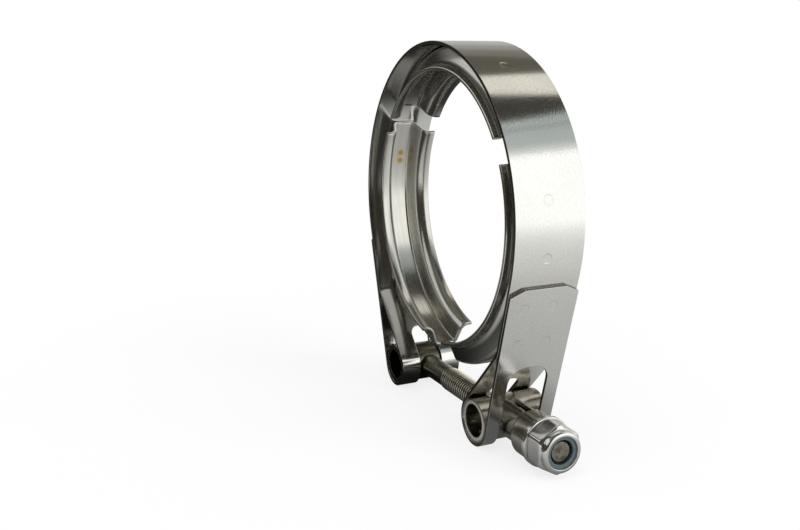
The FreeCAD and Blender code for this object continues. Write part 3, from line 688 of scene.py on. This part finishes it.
def slot_partner(s, y):
    """The point of the slot's edge that belongs to a point of the rectangle round it.

    Along the straight sides it is straight across. Round a corner the angle of the slot's arc
    grows with the distance that the rectangle's point has gone past the arc's start.
    """
    middle, reach = (SLOT_START + SLOT_END) / 2, (SLOT_END - SLOT_START) / 2
    outer = s > middle
    corner = np.where(outer, SLOT["outer_corner"], SLOT["inner_corner"])
    flat = np.where(outer, SLOT["outer_half"], SLOT["inner_half"]) - corner
    t, a = np.abs(s - middle), np.abs(y)
    arc_start, far_end = reach - corner, (FRAME_END - FRAME_START) / 2
    on_side = a >= HALF_WIDTH - 1e-9
    side_angle = np.clip((t - arc_start) / (far_end - arc_start), 0, 1) * math.pi / 4
    end_angle = math.pi / 2 - np.clip((a - flat) / (HALF_WIDTH - flat), 0, 1) * math.pi / 4
    angle = np.where(on_side, side_angle, end_angle)
    on_arc = np.where(on_side, t > arc_start, a > flat)
    arc_t, arc_a = arc_start + corner * np.sin(angle), flat + corner * np.cos(angle)
    new_t = np.where(on_arc, arc_t, np.where(on_side, t, reach))
    new_a = np.where(on_arc, arc_a, np.where(on_side, slot_half(s), a))
    return middle + np.sign(s - middle) * new_t, np.sign(y) * new_a


def frame_patch(layers=14):
    """The frame round a slot: rings that step from the rectangle to the slot's edge."""
    along = spaced(FRAME_START, FRAME_END, SLOT_STEP, SLOT_STEP, [])
    side = np.full(len(along), HALF_WIDTH)
    end = np.full(len(COLUMNS) - 2, 1.0)
    s = np.concatenate([along, FRAME_END * end, along[::-1], FRAME_START * end])
    y = np.concatenate([side, COLUMNS[1:-1][::-1], -side, COLUMNS[1:-1]])
    slot_s, slot_y = slot_partner(s, y)
    k = np.linspace(0, 1, layers)[:, None]
    faces = grid_faces(layers, len(s), close_columns=True)
    return (1 - k) * s + k * slot_s, (1 - k) * y + k * slot_y, faces


def flat_blank():
    """All patches of the strip, from the left tail to the right one, as (s, y) and quads."""
    bend = RUN_EDGES[2] + RUNS[2][0] / 2
    near_ring = [*WELDS[:len(RING_WELDS), 0], bend, -bend]
    ring_rows = spaced(-FRAME_START, FRAME_START, RING_STEP, FINE, near_ring)
    tail_rows = spaced(FRAME_END, HALF_STRIP, COARSE, FINE, WELDS[WELDS[:, 0] > FRAME_END, 0])
    right = [frame_patch(), plain_patch(tail_rows, lift_tail=True)]
    left = [(-s, y, faces[:, ::-1]) for s, y, faces in right]
    patches = [plain_patch(ring_rows), *right, *left]
    starts = np.cumsum([0] + [s.size for s, _, _ in patches])
    s = np.concatenate([p[0].ravel() for p in patches])
    y = np.concatenate([p[1].ravel() for p in patches])
    faces = np.concatenate([p[2] + start for p, start in zip(patches, starts)])
    return s, y, faces


print("patches of the frame:", frame_patch()[0].shape)

# %% [markdown]
# ## Roll the blank
#
# The press closes the flat strip round the ring and the barrels. A Curve modifier could bend a
# flat mesh, but it stretches the strip at tight bends. The rolled place of a point is known from
# its distance along the strip and across it, so the whole blank is rolled as one array. Solidify
# then gives the wall, and a narrow bevel breaks its edges.

# %% Roll the blank
BROKEN_EDGE = 0.13


def make_band():
    """Roll the blank, weld its patches, and give it its thickness and its broken edges."""
    s, y, faces = flat_blank()
    points = roll(s, y, weld_relief(s, y))
    band = make_piece("band", points, faces, "clamp_frame", band_steel,
                      replaced=["outer_band"], strip=np.stack([s, y], 1),
                      fields={"weld": weld_distance(s, y)})
    # The rims take the sheared steel, whose dark colour is painted shade along the cut edges.
    band.data.materials.append(sheared_steel_and_shade)
    clean(band)
    wall = band.modifiers.new("thickness", "SOLIDIFY")
    wall.thickness = BAND["thick"] * MM
    wall.offset = 0
    wall.use_even_offset = True
    wall.material_offset_rim = 1
    edge = band.modifiers.new("broken_edges", "BEVEL")
    edge.width = BROKEN_EDGE * MM
    edge.segments = 2
    edge.limit_method = "ANGLE"
    edge.angle_limit = math.radians(50)
    edge.harden_normals = True
    return band


band = make_band()
print("band: wall of", BAND["thick"], "mm, edges broken by", BROKEN_EDGE, "mm")

# %% [markdown]
# ## Outlines with soft corners
#
# Most other pieces are one outline carried along a path. A turned part spins it round an axis,
# and a rolled part sweeps it along an arc. No real corner is quite sharp: a cutter, a press or a
# tumbling drum breaks it, and the small round is what catches the light. So every corner of an
# outline carries its own radius.

# %% Outlines
NEAR_CORNER, SHORT_SIDE = 0.08, 0.3


def soft_outline(corners, closed=True, steps=5, longest=2.0):
    """Points of an outline of corners (a, b, radius), with an arc in place of each corner.

    The arc touches both sides at radius / tan(half the angle between them) from the corner. It
    runs from one touching point to the other as a blend of the two spokes of its circle.
    """
    corners = np.asarray(corners, float)
    count, pieces = len(corners), []
    for i, (*corner, radius) in enumerate(corners):
        corner = np.array(corner)
        if radius == 0:
            pieces.append(corner[None])
            continue
        before, after = corners[i - 1][:2] - corner, corners[(i + 1) % count][:2] - corner
        before, after = before / np.hypot(*before), after / np.hypot(*after)
        angle = math.acos(np.clip(before @ after, -1, 1))
        touch, turn = radius / math.tan(angle / 2), math.pi - angle
        middle = (before + after) / np.hypot(*(before + after))
        centre = corner + middle * radius / math.sin(angle / 2)
        start, end = corner + before * touch - centre, corner + after * touch - centre
        k = np.linspace(0, 1, steps)[:, None]
        spoke = (np.sin((1 - k) * turn) * start + np.sin(k * turn) * end) / math.sin(turn)
        pieces.append(centre + spoke)
    points = []
    for i, piece in enumerate(pieces):
        points.append(piece)
        if closed or i < count - 1:
            points.append(side_points(piece[-1], pieces[(i + 1) % count][0], longest))
    return np.concatenate(points)


def side_points(start, end, longest):
    """Points inside a straight side: one close to each end, and others so that none is far off."""
    length = math.hypot(*(end - start))
    if length < SHORT_SIDE:
        return np.empty((0, 2))
    count = max(2, int(length / longest) + 1)
    inner = np.linspace(NEAR_CORNER, length - NEAR_CORNER, count)
    return start + (end - start) * inner[:, None] / length


triangle = soft_outline([(0, 0, 1), (9, 0, 1), (0, 9, 1)])
print("a triangle with rounded corners has", len(triangle), "points")

# %% [markdown]
# ## Turned pieces and bent sheets
#
# The washer, the nut's crown and the nylon ring are turned shapes. Each could be a screw modifier
# on an outline, whose seam and poles then need care. A grid with one row of the outline's points
# per angle, closed on itself, is a plain array, and the same function serves all three.

# %% Turned pieces and bent sheets
SOFT, ROUNDING = 0.35, 0.88


def turned_piece(name, outline, body, material, replaced=(), closed=True, turns=96,
                 shape=None):
    """Spin an outline of (along, radius) round the bolt's axis.

    An open outline starts and ends on the axis. shape gets along, radius and angle of every
    point and gives the radius that it has there, for pieces that aren't quite round.
    """
    angle = np.linspace(0, 2 * math.pi, turns, endpoint=False)[None, :]
    along, radius = outline[:, :1] + 0 * angle, outline[:, 1:] + 0 * angle
    if shape is not None:
        radius = shape(along, radius, angle)
    points = np.stack([along, radius * np.sin(angle), BOLT_Z + radius * np.cos(angle)], -1)
    faces = grid_faces(len(outline), turns, close_rows=closed, close_columns=True)
    piece = make_piece(name, points.reshape(-1, 3), faces, body, material, replaced)
    clean(piece, 0.002)
    return piece


def edge_spaced(length, step):
    """Places along a length, close together where the sheet's edge is rounded."""
    near = SOFT * np.array([0, 0.08, 0.3, 0.6, 1.0])
    between = np.arange(SOFT + step, length - SOFT - step / 2, step)
    return np.concatenate([near, between, length - near[::-1]])


def soft_edge(thickness, *distances):
    """Half the sheet's thickness near its free edges, which are rounded by a quarter ellipse."""
    share = np.ones(np.broadcast_shapes(*[np.shape(d) for d in distances]))
    for distance in distances:
        left = 1 - np.clip(np.asarray(distance) / SOFT, 0, 1)
        share = share * np.sqrt(1 - left ** 2 * ROUNDING)
    return thickness / 2 * share


def sheet_faces(rows, columns):
    """Quads of a sheet's two faces and of the edge between them, for two grids of points."""
    face = grid_faces(rows, columns)
    number = np.arange(rows * columns).reshape(rows, columns)
    rim = np.concatenate([number[0], number[1:, -1], number[-1, -2::-1], number[-2:0:-1, 0]])
    after, back = np.roll(rim, -1), rows * columns
    edge = np.stack([after, rim, rim + back, after + back], 1)
    return np.concatenate([face, face[:, ::-1] + back, edge])


print("sheet edges are rounded over", SOFT, "mm")

# %% [markdown]
# ## The retainers
#
# The three segments that do the pressing are strips rolled to a V section: a narrow floor
# against the band, two sloping legs, and lips that turn outwards in a wide, soft bend. The
# middle line of the section is drawn once and swept round the ring. Half the sheet's thickness to
# each side gives its faces, and the thickness fades at the sheared ends and edges.

# %% The V section and its sweep
VEE = {"sheet": 1.2, "lip": 42.3, "reach": 9.3, "floor": 4.0, "slope": 20.0,
       "floor_bend": 1.0, "lip_bend": 2.6}
SEGMENTS = {"right": (-84.5, 23.5), "top": (33.5, 141.5), "left": (150.0, 258.0)}


def vee_middle():
    """The section's middle line as (radius, y), its outward directions, and its length so far."""
    half, slope = VEE["sheet"] / 2, math.radians(VEE["slope"])
    lip, bottom = VEE["lip"] + half, BAND["radius"] - half
    rise, shift = math.tan(slope), half / math.cos(slope)
    shoulder, floor = [VEE["floor"] + (BAND["radius"] - r) * rise - shift for r in (lip, bottom)]
    side = [(lip, VEE["reach"], 0), (lip, shoulder, VEE["lip_bend"] + half),
            (bottom, floor, VEE["floor_bend"] + half)]
    mirrored = [(r, -y, bend) for r, y, bend in reversed(side)]
    line = soft_outline(side + mirrored, closed=False, steps=12, longest=0.6)
    reach = np.concatenate([[0], np.cumsum(np.hypot(*np.diff(line, axis=0).T))])
    inner = reach[(reach > SOFT) & (reach < reach[-1] - SOFT)]
    wanted = np.unique(np.concatenate([inner, edge_spaced(reach[-1], reach[-1])]))
    line = np.stack([np.interp(wanted, reach, line[:, k]) for k in (0, 1)], 1)
    ahead = np.gradient(line, wanted, axis=0)
    ahead /= np.hypot(*ahead.T)[:, None]
    return line, np.stack([-ahead[:, 1], ahead[:, 0]], 1), wanted


def retainer(name, start, end):
    """Sweep the V section round the ring, from one angle to the other in degrees."""
    line, out, reach = vee_middle()
    arc = BAND["radius"] * math.radians(end - start)
    along = edge_spaced(arc, step=0.9)
    turn = math.radians(start) + along / BAND["radius"]
    from_end = np.minimum(along, arc - along)[:, None]
    from_lip = np.minimum(reach, reach[-1] - reach)[None, :]
    half = soft_edge(VEE["sheet"], from_end, from_lip)
    spokes = np.stack([np.cos(turn), 0 * turn, np.sin(turn)], -1)[:, None, :]
    axis = np.array([0, 1, 0])

    def face(side):
        section = line[None] + side * out[None] * half[..., None]
        return (section[..., :1] * spokes + section[..., 1:] * axis).reshape(-1, 3)

    piece = make_piece(f"{name}_rolled", np.concatenate([face(1), face(-1)]),
                       sheet_faces(*half.shape), "clamp_frame", retainer_steel,
                       replaced=[name])
    clean(piece, 0.002)
    return piece


for side, (start, end) in SEGMENTS.items():
    retainer(f"{side}_retainer", start, end)

# %% [markdown]
# ## The T-bolt
#
# The thread of such a bolt is rolled, not cut: two dies press a blank of the pitch diameter, the
# roots sink and the metal rises into crests. That is why the plain shank is thinner than the
# thread. The radius of the surface is a function of the place along the bolt and of the angle,
# and one turn moves the pattern by one pitch.

# %% The bolt's surface
BOLT = {"left": -32.198, "thread": -7.898, "tip": 58.398, "shank": 3.65, "crest": 4.0,
        "pitch": 1.25, "chamfer": 1.2, "run_out": 1.6}
ROOT_FLAT, CREST_FLAT, DEPTH = 0.25, 0.125, 0.6134  # shares of the pitch
ROLLED = 0.35  # how far the flanks bulge, from 0 for straight to 1 for a smooth step
LEFT_END = ((0, 0), (0, 2.0), (0, 3.35), (0.08, 3.58))  # (along, radius) of the flat left end
TIP_END = (2.85, 2.72, 2.5, 1.3, 0)  # radii of the flat tip


def thread_radius(along, angle):
    """Radius of the threaded bar: a ridge whose flanks bulge a little and whose tops are flat.

    The place inside one pitch, from the root to the crest and back, is a triangle wave of the
    distance along less the angle's share of the pitch. Cutting off the wave's lowest quarter and
    its top eighth leaves the flats.
    """
    phase = (along / BOLT["pitch"] - angle / (2 * math.pi)) % 1.0
    ridge = np.clip((np.abs(2 * phase - 1) - ROOT_FLAT) / (1 - ROOT_FLAT - CREST_FLAT), 0, 1)
    ridge = ridge * ridge * (3 - 2 * ridge) * ROLLED + ridge * (1 - ROLLED)
    depth = DEPTH * BOLT["pitch"]
    fade = np.clip((along - BOLT["thread"]) / BOLT["run_out"], 0, 1)
    body = BOLT["shank"] + (BOLT["crest"] - depth - BOLT["shank"]) * fade + ridge * fade * depth
    body = np.where(along < BOLT["thread"], BOLT["shank"], body)
    return np.minimum(body, BOLT["crest"] - BOLT["chamfer"] + (BOLT["tip"] - along))


def make_bolt():
    """Rows along the bolt with the thread's radius, closed by a flat disc at each end."""
    plain = np.linspace(BOLT["left"] + 0.3, BOLT["thread"] - 0.4, 14)
    threaded = np.arange(BOLT["thread"] - 0.3, BOLT["tip"] - 0.02, 0.104)
    left = [BOLT["left"] + offset for offset, _ in LEFT_END]
    along = np.concatenate([left, plain, threaded, [BOLT["tip"]] * len(TIP_END)])
    free = np.full(len(plain) + len(threaded), 2 * BOLT["crest"])
    limit = np.concatenate([[radius for _, radius in LEFT_END], free, TIP_END])

    def shape(x, radius, angle):
        return np.minimum(thread_radius(x, angle), radius)

    return turned_piece("t_bolt_threaded", np.stack([along, limit], 1), "clamp_frame", bolt_steel,
                        replaced=["t_bolt"], closed=False, turns=60, shape=shape)


make_bolt()

# %% [markdown]
# ## The nut, its nylon ring and the washer
#
# A lock nut is cold-formed from wire: the press makes a hexagon whose corners are trimmed by a
# cone at both ends, and rolls a thin crown over a nylon ring. The hexagon's radius at an angle is
# that of its flat side divided by the cosine of the angle from the side's middle. Where it meets
# the cone, the smaller of the two wins, and a soft minimum gives the rounded border.

# %% The nut and the pieces beside it
WASHER_AT, NUT_AT = 50.098, 51.698
FLATS, OUTSIDE, CORNER_BLEND = 13.0, 5.6, 0.16
# Outlines as (along from the piece's left face, radius, rounding)
NUT_OUTLINE = ((0, 4.55, 0.1), (0, 6.15, 0.25), (0.65, 7.34, 0.5), (5.55, 7.34, 0.5),
               (6.2, 6.2, 0.35), (6.45, 6.12, 0.15), (8, 6.12, 1.0), (8, 4.75, 0.22),
               (7.42, 4.7, 0), (7.42, 5.3, 0), (5.4, 5.3, 0), (5.4, 4.05, 0), (0.5, 4.05, 0.05))
NYLON_OUTLINE = ((5.4, 4.05, 0), (5.4, 5.3, 0), (7.4, 5.3, 0), (7.4, 3.72, 0.18),
                 (6.95, 3.5, 0.1), (6.95, 4.05, 0))
WASHER_OUTLINE = ((0, 4.2, 0.12), (0, 7.5, 0.2), (1.6, 7.5, 0.45), (1.6, 4.2, 0.2))


def soft_minimum(a, b, width):
    """The smaller of two numbers, blended where they are closer together than the width."""
    share = np.clip(0.5 + (b - a) / (2 * width), 0, 1)
    return b + (a - b) * share - width * share * (1 - share)


def hexagon(along, radius, angle):
    """The radius limited by the flats. The inside of the nut is too narrow to be changed."""
    turn = angle % (math.pi / 3) - math.pi / 6
    flat = FLATS / 2 / np.cos(turn)
    return np.where(radius > OUTSIDE, soft_minimum(radius, flat, CORNER_BLEND), radius)


def placed_outline(corners, at, longest=0.8):
    """An outline with its corners rounded, moved along the bolt's axis to its place."""
    return soft_outline([(at + along, *rest) for along, *rest in corners], longest=longest)


def make_nut():
    """The nut, the nylon ring inside it and the washer under it."""
    nut, ring = placed_outline(NUT_OUTLINE, NUT_AT), placed_outline(NYLON_OUTLINE, NUT_AT)
    disc = placed_outline(WASHER_OUTLINE, WASHER_AT, longest=0.9)
    turned_piece("lock_nut_formed", nut, "nut_body", nut_steel,
                 replaced=["lock_nut"], turns=180, shape=hexagon)
    turned_piece("nylon_ring", ring, "nut_body", nylon, replaced=["nylon_insert"])
    turned_piece("washer_pressed", disc, "washer_body", washer_steel,
                 replaced=["flat_washer"], turns=120)


make_nut()

# %% [markdown]
# ## The studio
#
# Polished metal has hardly any colour of its own: it shows what stands round it. A white floor
# and a white world give the plain background. Long dark and light cards, as a product
# photographer uses them, draw the bands that let the eye read the curve of the ring.

# %% The floor
FLOOR_WHITE = 0.86
FOOT = 45 * MM
# (distance in metres, brightness)
TABLE_STEPS = ((0.008, 0.09), (0.028, 0.38), (0.055, 0.43), (0.1, 0.54), (0.17, 0.62), (0.35, 0.79),
               (0.7, 1.0))
LIT_SIDE, DARK_SIDE, BORDER = 1.4, 0.10, (-26 * MM, 24 * MM)
SHADOW_WHITE, SHADOW_REACH = 0.80, (30 * MM, 200 * MM)
FLOOR_RADIUS, FLOOR_SHIFT, FLOOR_GAP = 6, 30 * MM, 0.1 * MM
POOL = {"centre": (-0.17, -0.15, -0.067), "inner": 0.05, "outer": 0.13, "light": 0.6}


def beside_clamp(nodes):
    """How far in metres a place on the floor lies from the stretch below the clamp."""
    beside = nodes.vector("ABSOLUTE", nodes.place())
    beside = nodes.vector("SUBTRACT", beside, (FOOT, 0, 0))
    beside = nodes.vector("MAXIMUM", beside, (0, 0, 0))
    return nodes.vector("LENGTH", nodes.vector("MULTIPLY", beside, (1, 1, 0)))


def mirrored_table(nodes, away):
    """The floor as the metal sees it: darker close by, and dark to the clamp's left.

    A table near the object gets less light, because the object and the camera keep it off. The
    steps give the brightness by the distance. A round pool of light lies farther to the left.
    """
    steps = nodes.add("ValToRGB", {0: away})
    ramp = steps.color_ramp
    while len(ramp.elements) < len(TABLE_STEPS):
        ramp.elements.new(0.5)
    for element, (distance, level) in zip(ramp.elements, TABLE_STEPS):
        element.position = distance
        element.color = (level, level, level * 0.975, 1)
    leftwards = nodes.vector("DOT_PRODUCT", nodes.place(), (-1.0, -0.35, 0))
    light = nodes.fade(leftwards, *BORDER, LIT_SIDE, DARK_SIDE, kind="SMOOTHSTEP")
    pool = nodes.vector("DISTANCE", nodes.place(), POOL["centre"])
    pool = nodes.fade(pool, POOL["inner"], POOL["outer"], POOL["light"], 0.0, kind="SMOOTHSTEP")
    strength = nodes.math("MAXIMUM", light, pool)
    return nodes.add("Emission", {"Color": steps.outputs[0], "Strength": strength}).outputs[0]


def white_floor():
    """A large disc on which the clamp stands. It is white to the camera and keeps the shadow."""
    material = bpy.data.materials.new("studio_floor")
    material.use_nodes = True
    material.node_tree.nodes.clear()
    nodes = Nodes(material)
    away = beside_clamp(nodes)
    paint = nodes.add("BsdfDiffuse", {"Color": (*[FLOOR_WHITE] * 3, 1)}).outputs[0]
    glow = nodes.add("Emission", {"Color": (1, 1, 1, 1), "Strength": 1.0}).outputs[0]
    ray = nodes.add("LightPath").outputs
    seen = nodes.math("MAXIMUM", ray["Is Camera Ray"], ray["Is Transmission Ray"])
    white = nodes.fade(away, *SHADOW_REACH, SHADOW_WHITE, 1.0, kind="SMOOTHSTEP")
    share = nodes.math("MULTIPLY", seen, white)
    bright = nodes.add("MixShader", {0: share, 1: paint, 2: glow}).outputs[0]
    table = mirrored_table(nodes, away)
    mix = nodes.add("MixShader", {0: ray["Is Glossy Ray"], 1: bright, 2: table}).outputs[0]
    nodes.add("OutputMaterial", {"Surface": mix})
    bpy.ops.mesh.primitive_circle_add(vertices=96, radius=FLOOR_RADIUS, fill_type="NGON")
    floor = bpy.context.object
    floor.name = "floor"
    floor.data.transform(Matrix.Translation((FLOOR_SHIFT, 0, cad_box[0].z - FLOOR_GAP)))
    floor.data.materials.append(material)
    return floor


white_floor()
print("white floor at z", round(cad_box[0].z / MM, 1))

# %% [markdown]
# ## The world
#
# Behind the floor stands nothing but the world. A picture of a room could light the scene, but
# plain white is what the camera should see. Light Path tells the kinds of rays apart, so that
# the world is white to the camera and in mirrors, and softer as a light.

# %% The world
AS_A_LIGHT = 0.62


def white_world():
    """A world that is white to the camera and to mirrored rays, and softer as a light."""
    world = bpy.data.worlds.new("studio")
    bpy.context.scene.world = world
    world.use_nodes = True
    world.node_tree.nodes.clear()
    nodes = Nodes(world)
    ray = nodes.add("LightPath").outputs
    seen = nodes.math("MAXIMUM", ray["Is Camera Ray"], ray["Is Glossy Ray"])
    seen = nodes.math("MAXIMUM", seen, ray["Is Transmission Ray"])
    level = nodes.fade(seen, 0.0, 1.0, AS_A_LIGHT, 1.0)
    sky = nodes.add("Background", {"Color": (1, 1, 1, 1), "Strength": level}).outputs[0]
    nodes.add("OutputWorld", {"Surface": sky})


white_world()
print("white world")

# %% [markdown]
# ## Lamps and cards
#
# Polished steel shows the room more than it shows itself. Two soft lamps give the light, and
# hide from mirrored rays. What the band mirrors comes from plain curved cards, as in a product
# studio: a bright one at the right, darker strips above it, and a dark room behind the camera.
# A photographed room would do the same, but it would be a picture, and fixed.

# %% The lamps
def from_direction(around, up, far):
    """A point that far away, at an angle around from +X towards +Y and an angle up."""
    a, e = math.radians(around), math.radians(up)
    return Vector((math.cos(a) * math.cos(e), math.sin(a) * math.cos(e), math.sin(e))) * far


def softbox(name, around, up, far, size, power):
    """A rectangular area lamp that faces the clamp. Its mirror image is a card of its own."""
    data = bpy.data.lights.new(name, "AREA")
    data.shape = "RECTANGLE"
    data.size, data.size_y = size
    data.energy = power
    lamp = bpy.data.objects.new(name, data)
    bpy.context.scene.collection.objects.link(lamp)
    lamp.location = from_direction(around, up, far)
    lamp.rotation_euler = (-lamp.location).to_track_quat("-Z", "Y").to_euler()
    lamp.visible_glossy = False
    return lamp


softbox("key", 36, 20, 1.6, (1.1, 0.8), 20)
softbox("top_fill", -60, 70, 1.6, (1.2, 1.2), 9)
print("two lamps")

# %% [markdown]
# ## What the metal mirrors
#
# A mirror shows one direction at each place of its surface. So every card is a patch of a sphere
# round the clamp, given by two angles, and the table lists them by where they stand. The nearest
# card wins where two overlap. Flat planes could stand there too, but their edges would have to
# be worked out from the distance.

# %% The cards
CARDS = (
    # name, angles around, angles up, light sent back, distance
    ("key_glow", (4, 62), (-6, 33.5), (1.42, 1.42, 1.39), 1.20),
    ("key_wall", (-10, 80), (33.5, 37), (0.76, 0.79, 0.77), 1.25),
    ("key_wall_middle", (-10, 80), (37, 46), (0.52, 0.57, 0.55), 1.25),
    ("key_wall_line", (-10, 80), (46, 47.2), (0.26, 0.29, 0.28), 1.25),
    ("key_wall_top", (-10, 80), (47.2, 50.8), (0.54, 0.59, 0.57), 1.25),
    ("dark_right", (-10, 81), (50.8, 75), (0.055, 0.052, 0.042), 1.25),
    ("light_over", (81, 112), (44, 75), (0.96, 0.92, 0.82), 1.25),
    ("dark_over", (112, 260), (44, 75), (0.13, 0.12, 0.095), 1.25),
    ("backdrop_shade_3", (112, 260), (35, 44), (0.24, 0.23, 0.20), 1.25),
    ("backdrop_shade_2", (112, 260), (26, 35), (0.38, 0.375, 0.34), 1.25),
    ("backdrop_shade_1", (95, 260), (12, 26), (0.52, 0.52, 0.49), 1.25),
    ("backdrop_shade_0", (95, 260), (0, 12), (0.70, 0.70, 0.67), 1.25),
    ("dark_room", (188, 352), (-11, 18), (0.060, 0.056, 0.040), 0.34),
    ("side_window", (205, 300), (18, 48), (0.85, 0.86, 0.84), 1.15),
    ("dark_corner", (300, 352), (18, 48), (0.075, 0.070, 0.055), 1.15),
    ("dark_side_top", (188, 352), (48, 75), (0.15, 0.14, 0.115), 1.15),
    ("ceiling", (0, 360), (75, 90), (0.10, 0.095, 0.075), 1.25),
)


def card(name, around, up, colour, far, steps=12):
    """A curved card that only mirrored rays meet, so that it draws a band on metal.

    It is a patch of a sphere round the clamp, from the first to the second angle of around and
    of up. colour is the light that it sends back.
    """
    a, e = np.meshgrid(np.radians(np.linspace(*around, steps)),
                       np.radians(np.linspace(*up, steps)), indexing="ij")
    points = far * np.stack([np.cos(a) * np.cos(e), np.sin(a) * np.cos(e), np.sin(e)], -1)
    mesh = bpy.data.meshes.new(name)
    mesh.from_pydata(points.reshape(-1, 3).tolist(), [], grid_faces(steps, steps).tolist())
    plane = bpy.data.objects.new(name, mesh)
    bpy.context.scene.collection.objects.link(plane)
    material = bpy.data.materials.new(name)
    material.use_nodes = True
    material.node_tree.nodes.clear()
    nodes = Nodes(material)
    glow = nodes.add("Emission", {"Color": (*colour, 1), "Strength": 1.0}).outputs[0]
    nodes.add("OutputMaterial", {"Surface": glow})
    mesh.materials.append(material)
    for ray in ("camera", "diffuse", "shadow", "transmission", "volume_scatter"):
        setattr(plane, f"visible_{ray}", False)
    return plane


for row in CARDS:
    card(*row)
print(len(CARDS), "cards, stage ready")

# %% [markdown]
# ## The CAD box
#
# Before the last step, the CAD model's box is printed. The looks may change a surface, but not
# the size of the clamp.

# %% The CAD box
print("CAD box", [round(v / MM, 2) for c in cad_box for v in c])
bpy.context.scene.view_settings.view_transform = "Standard"
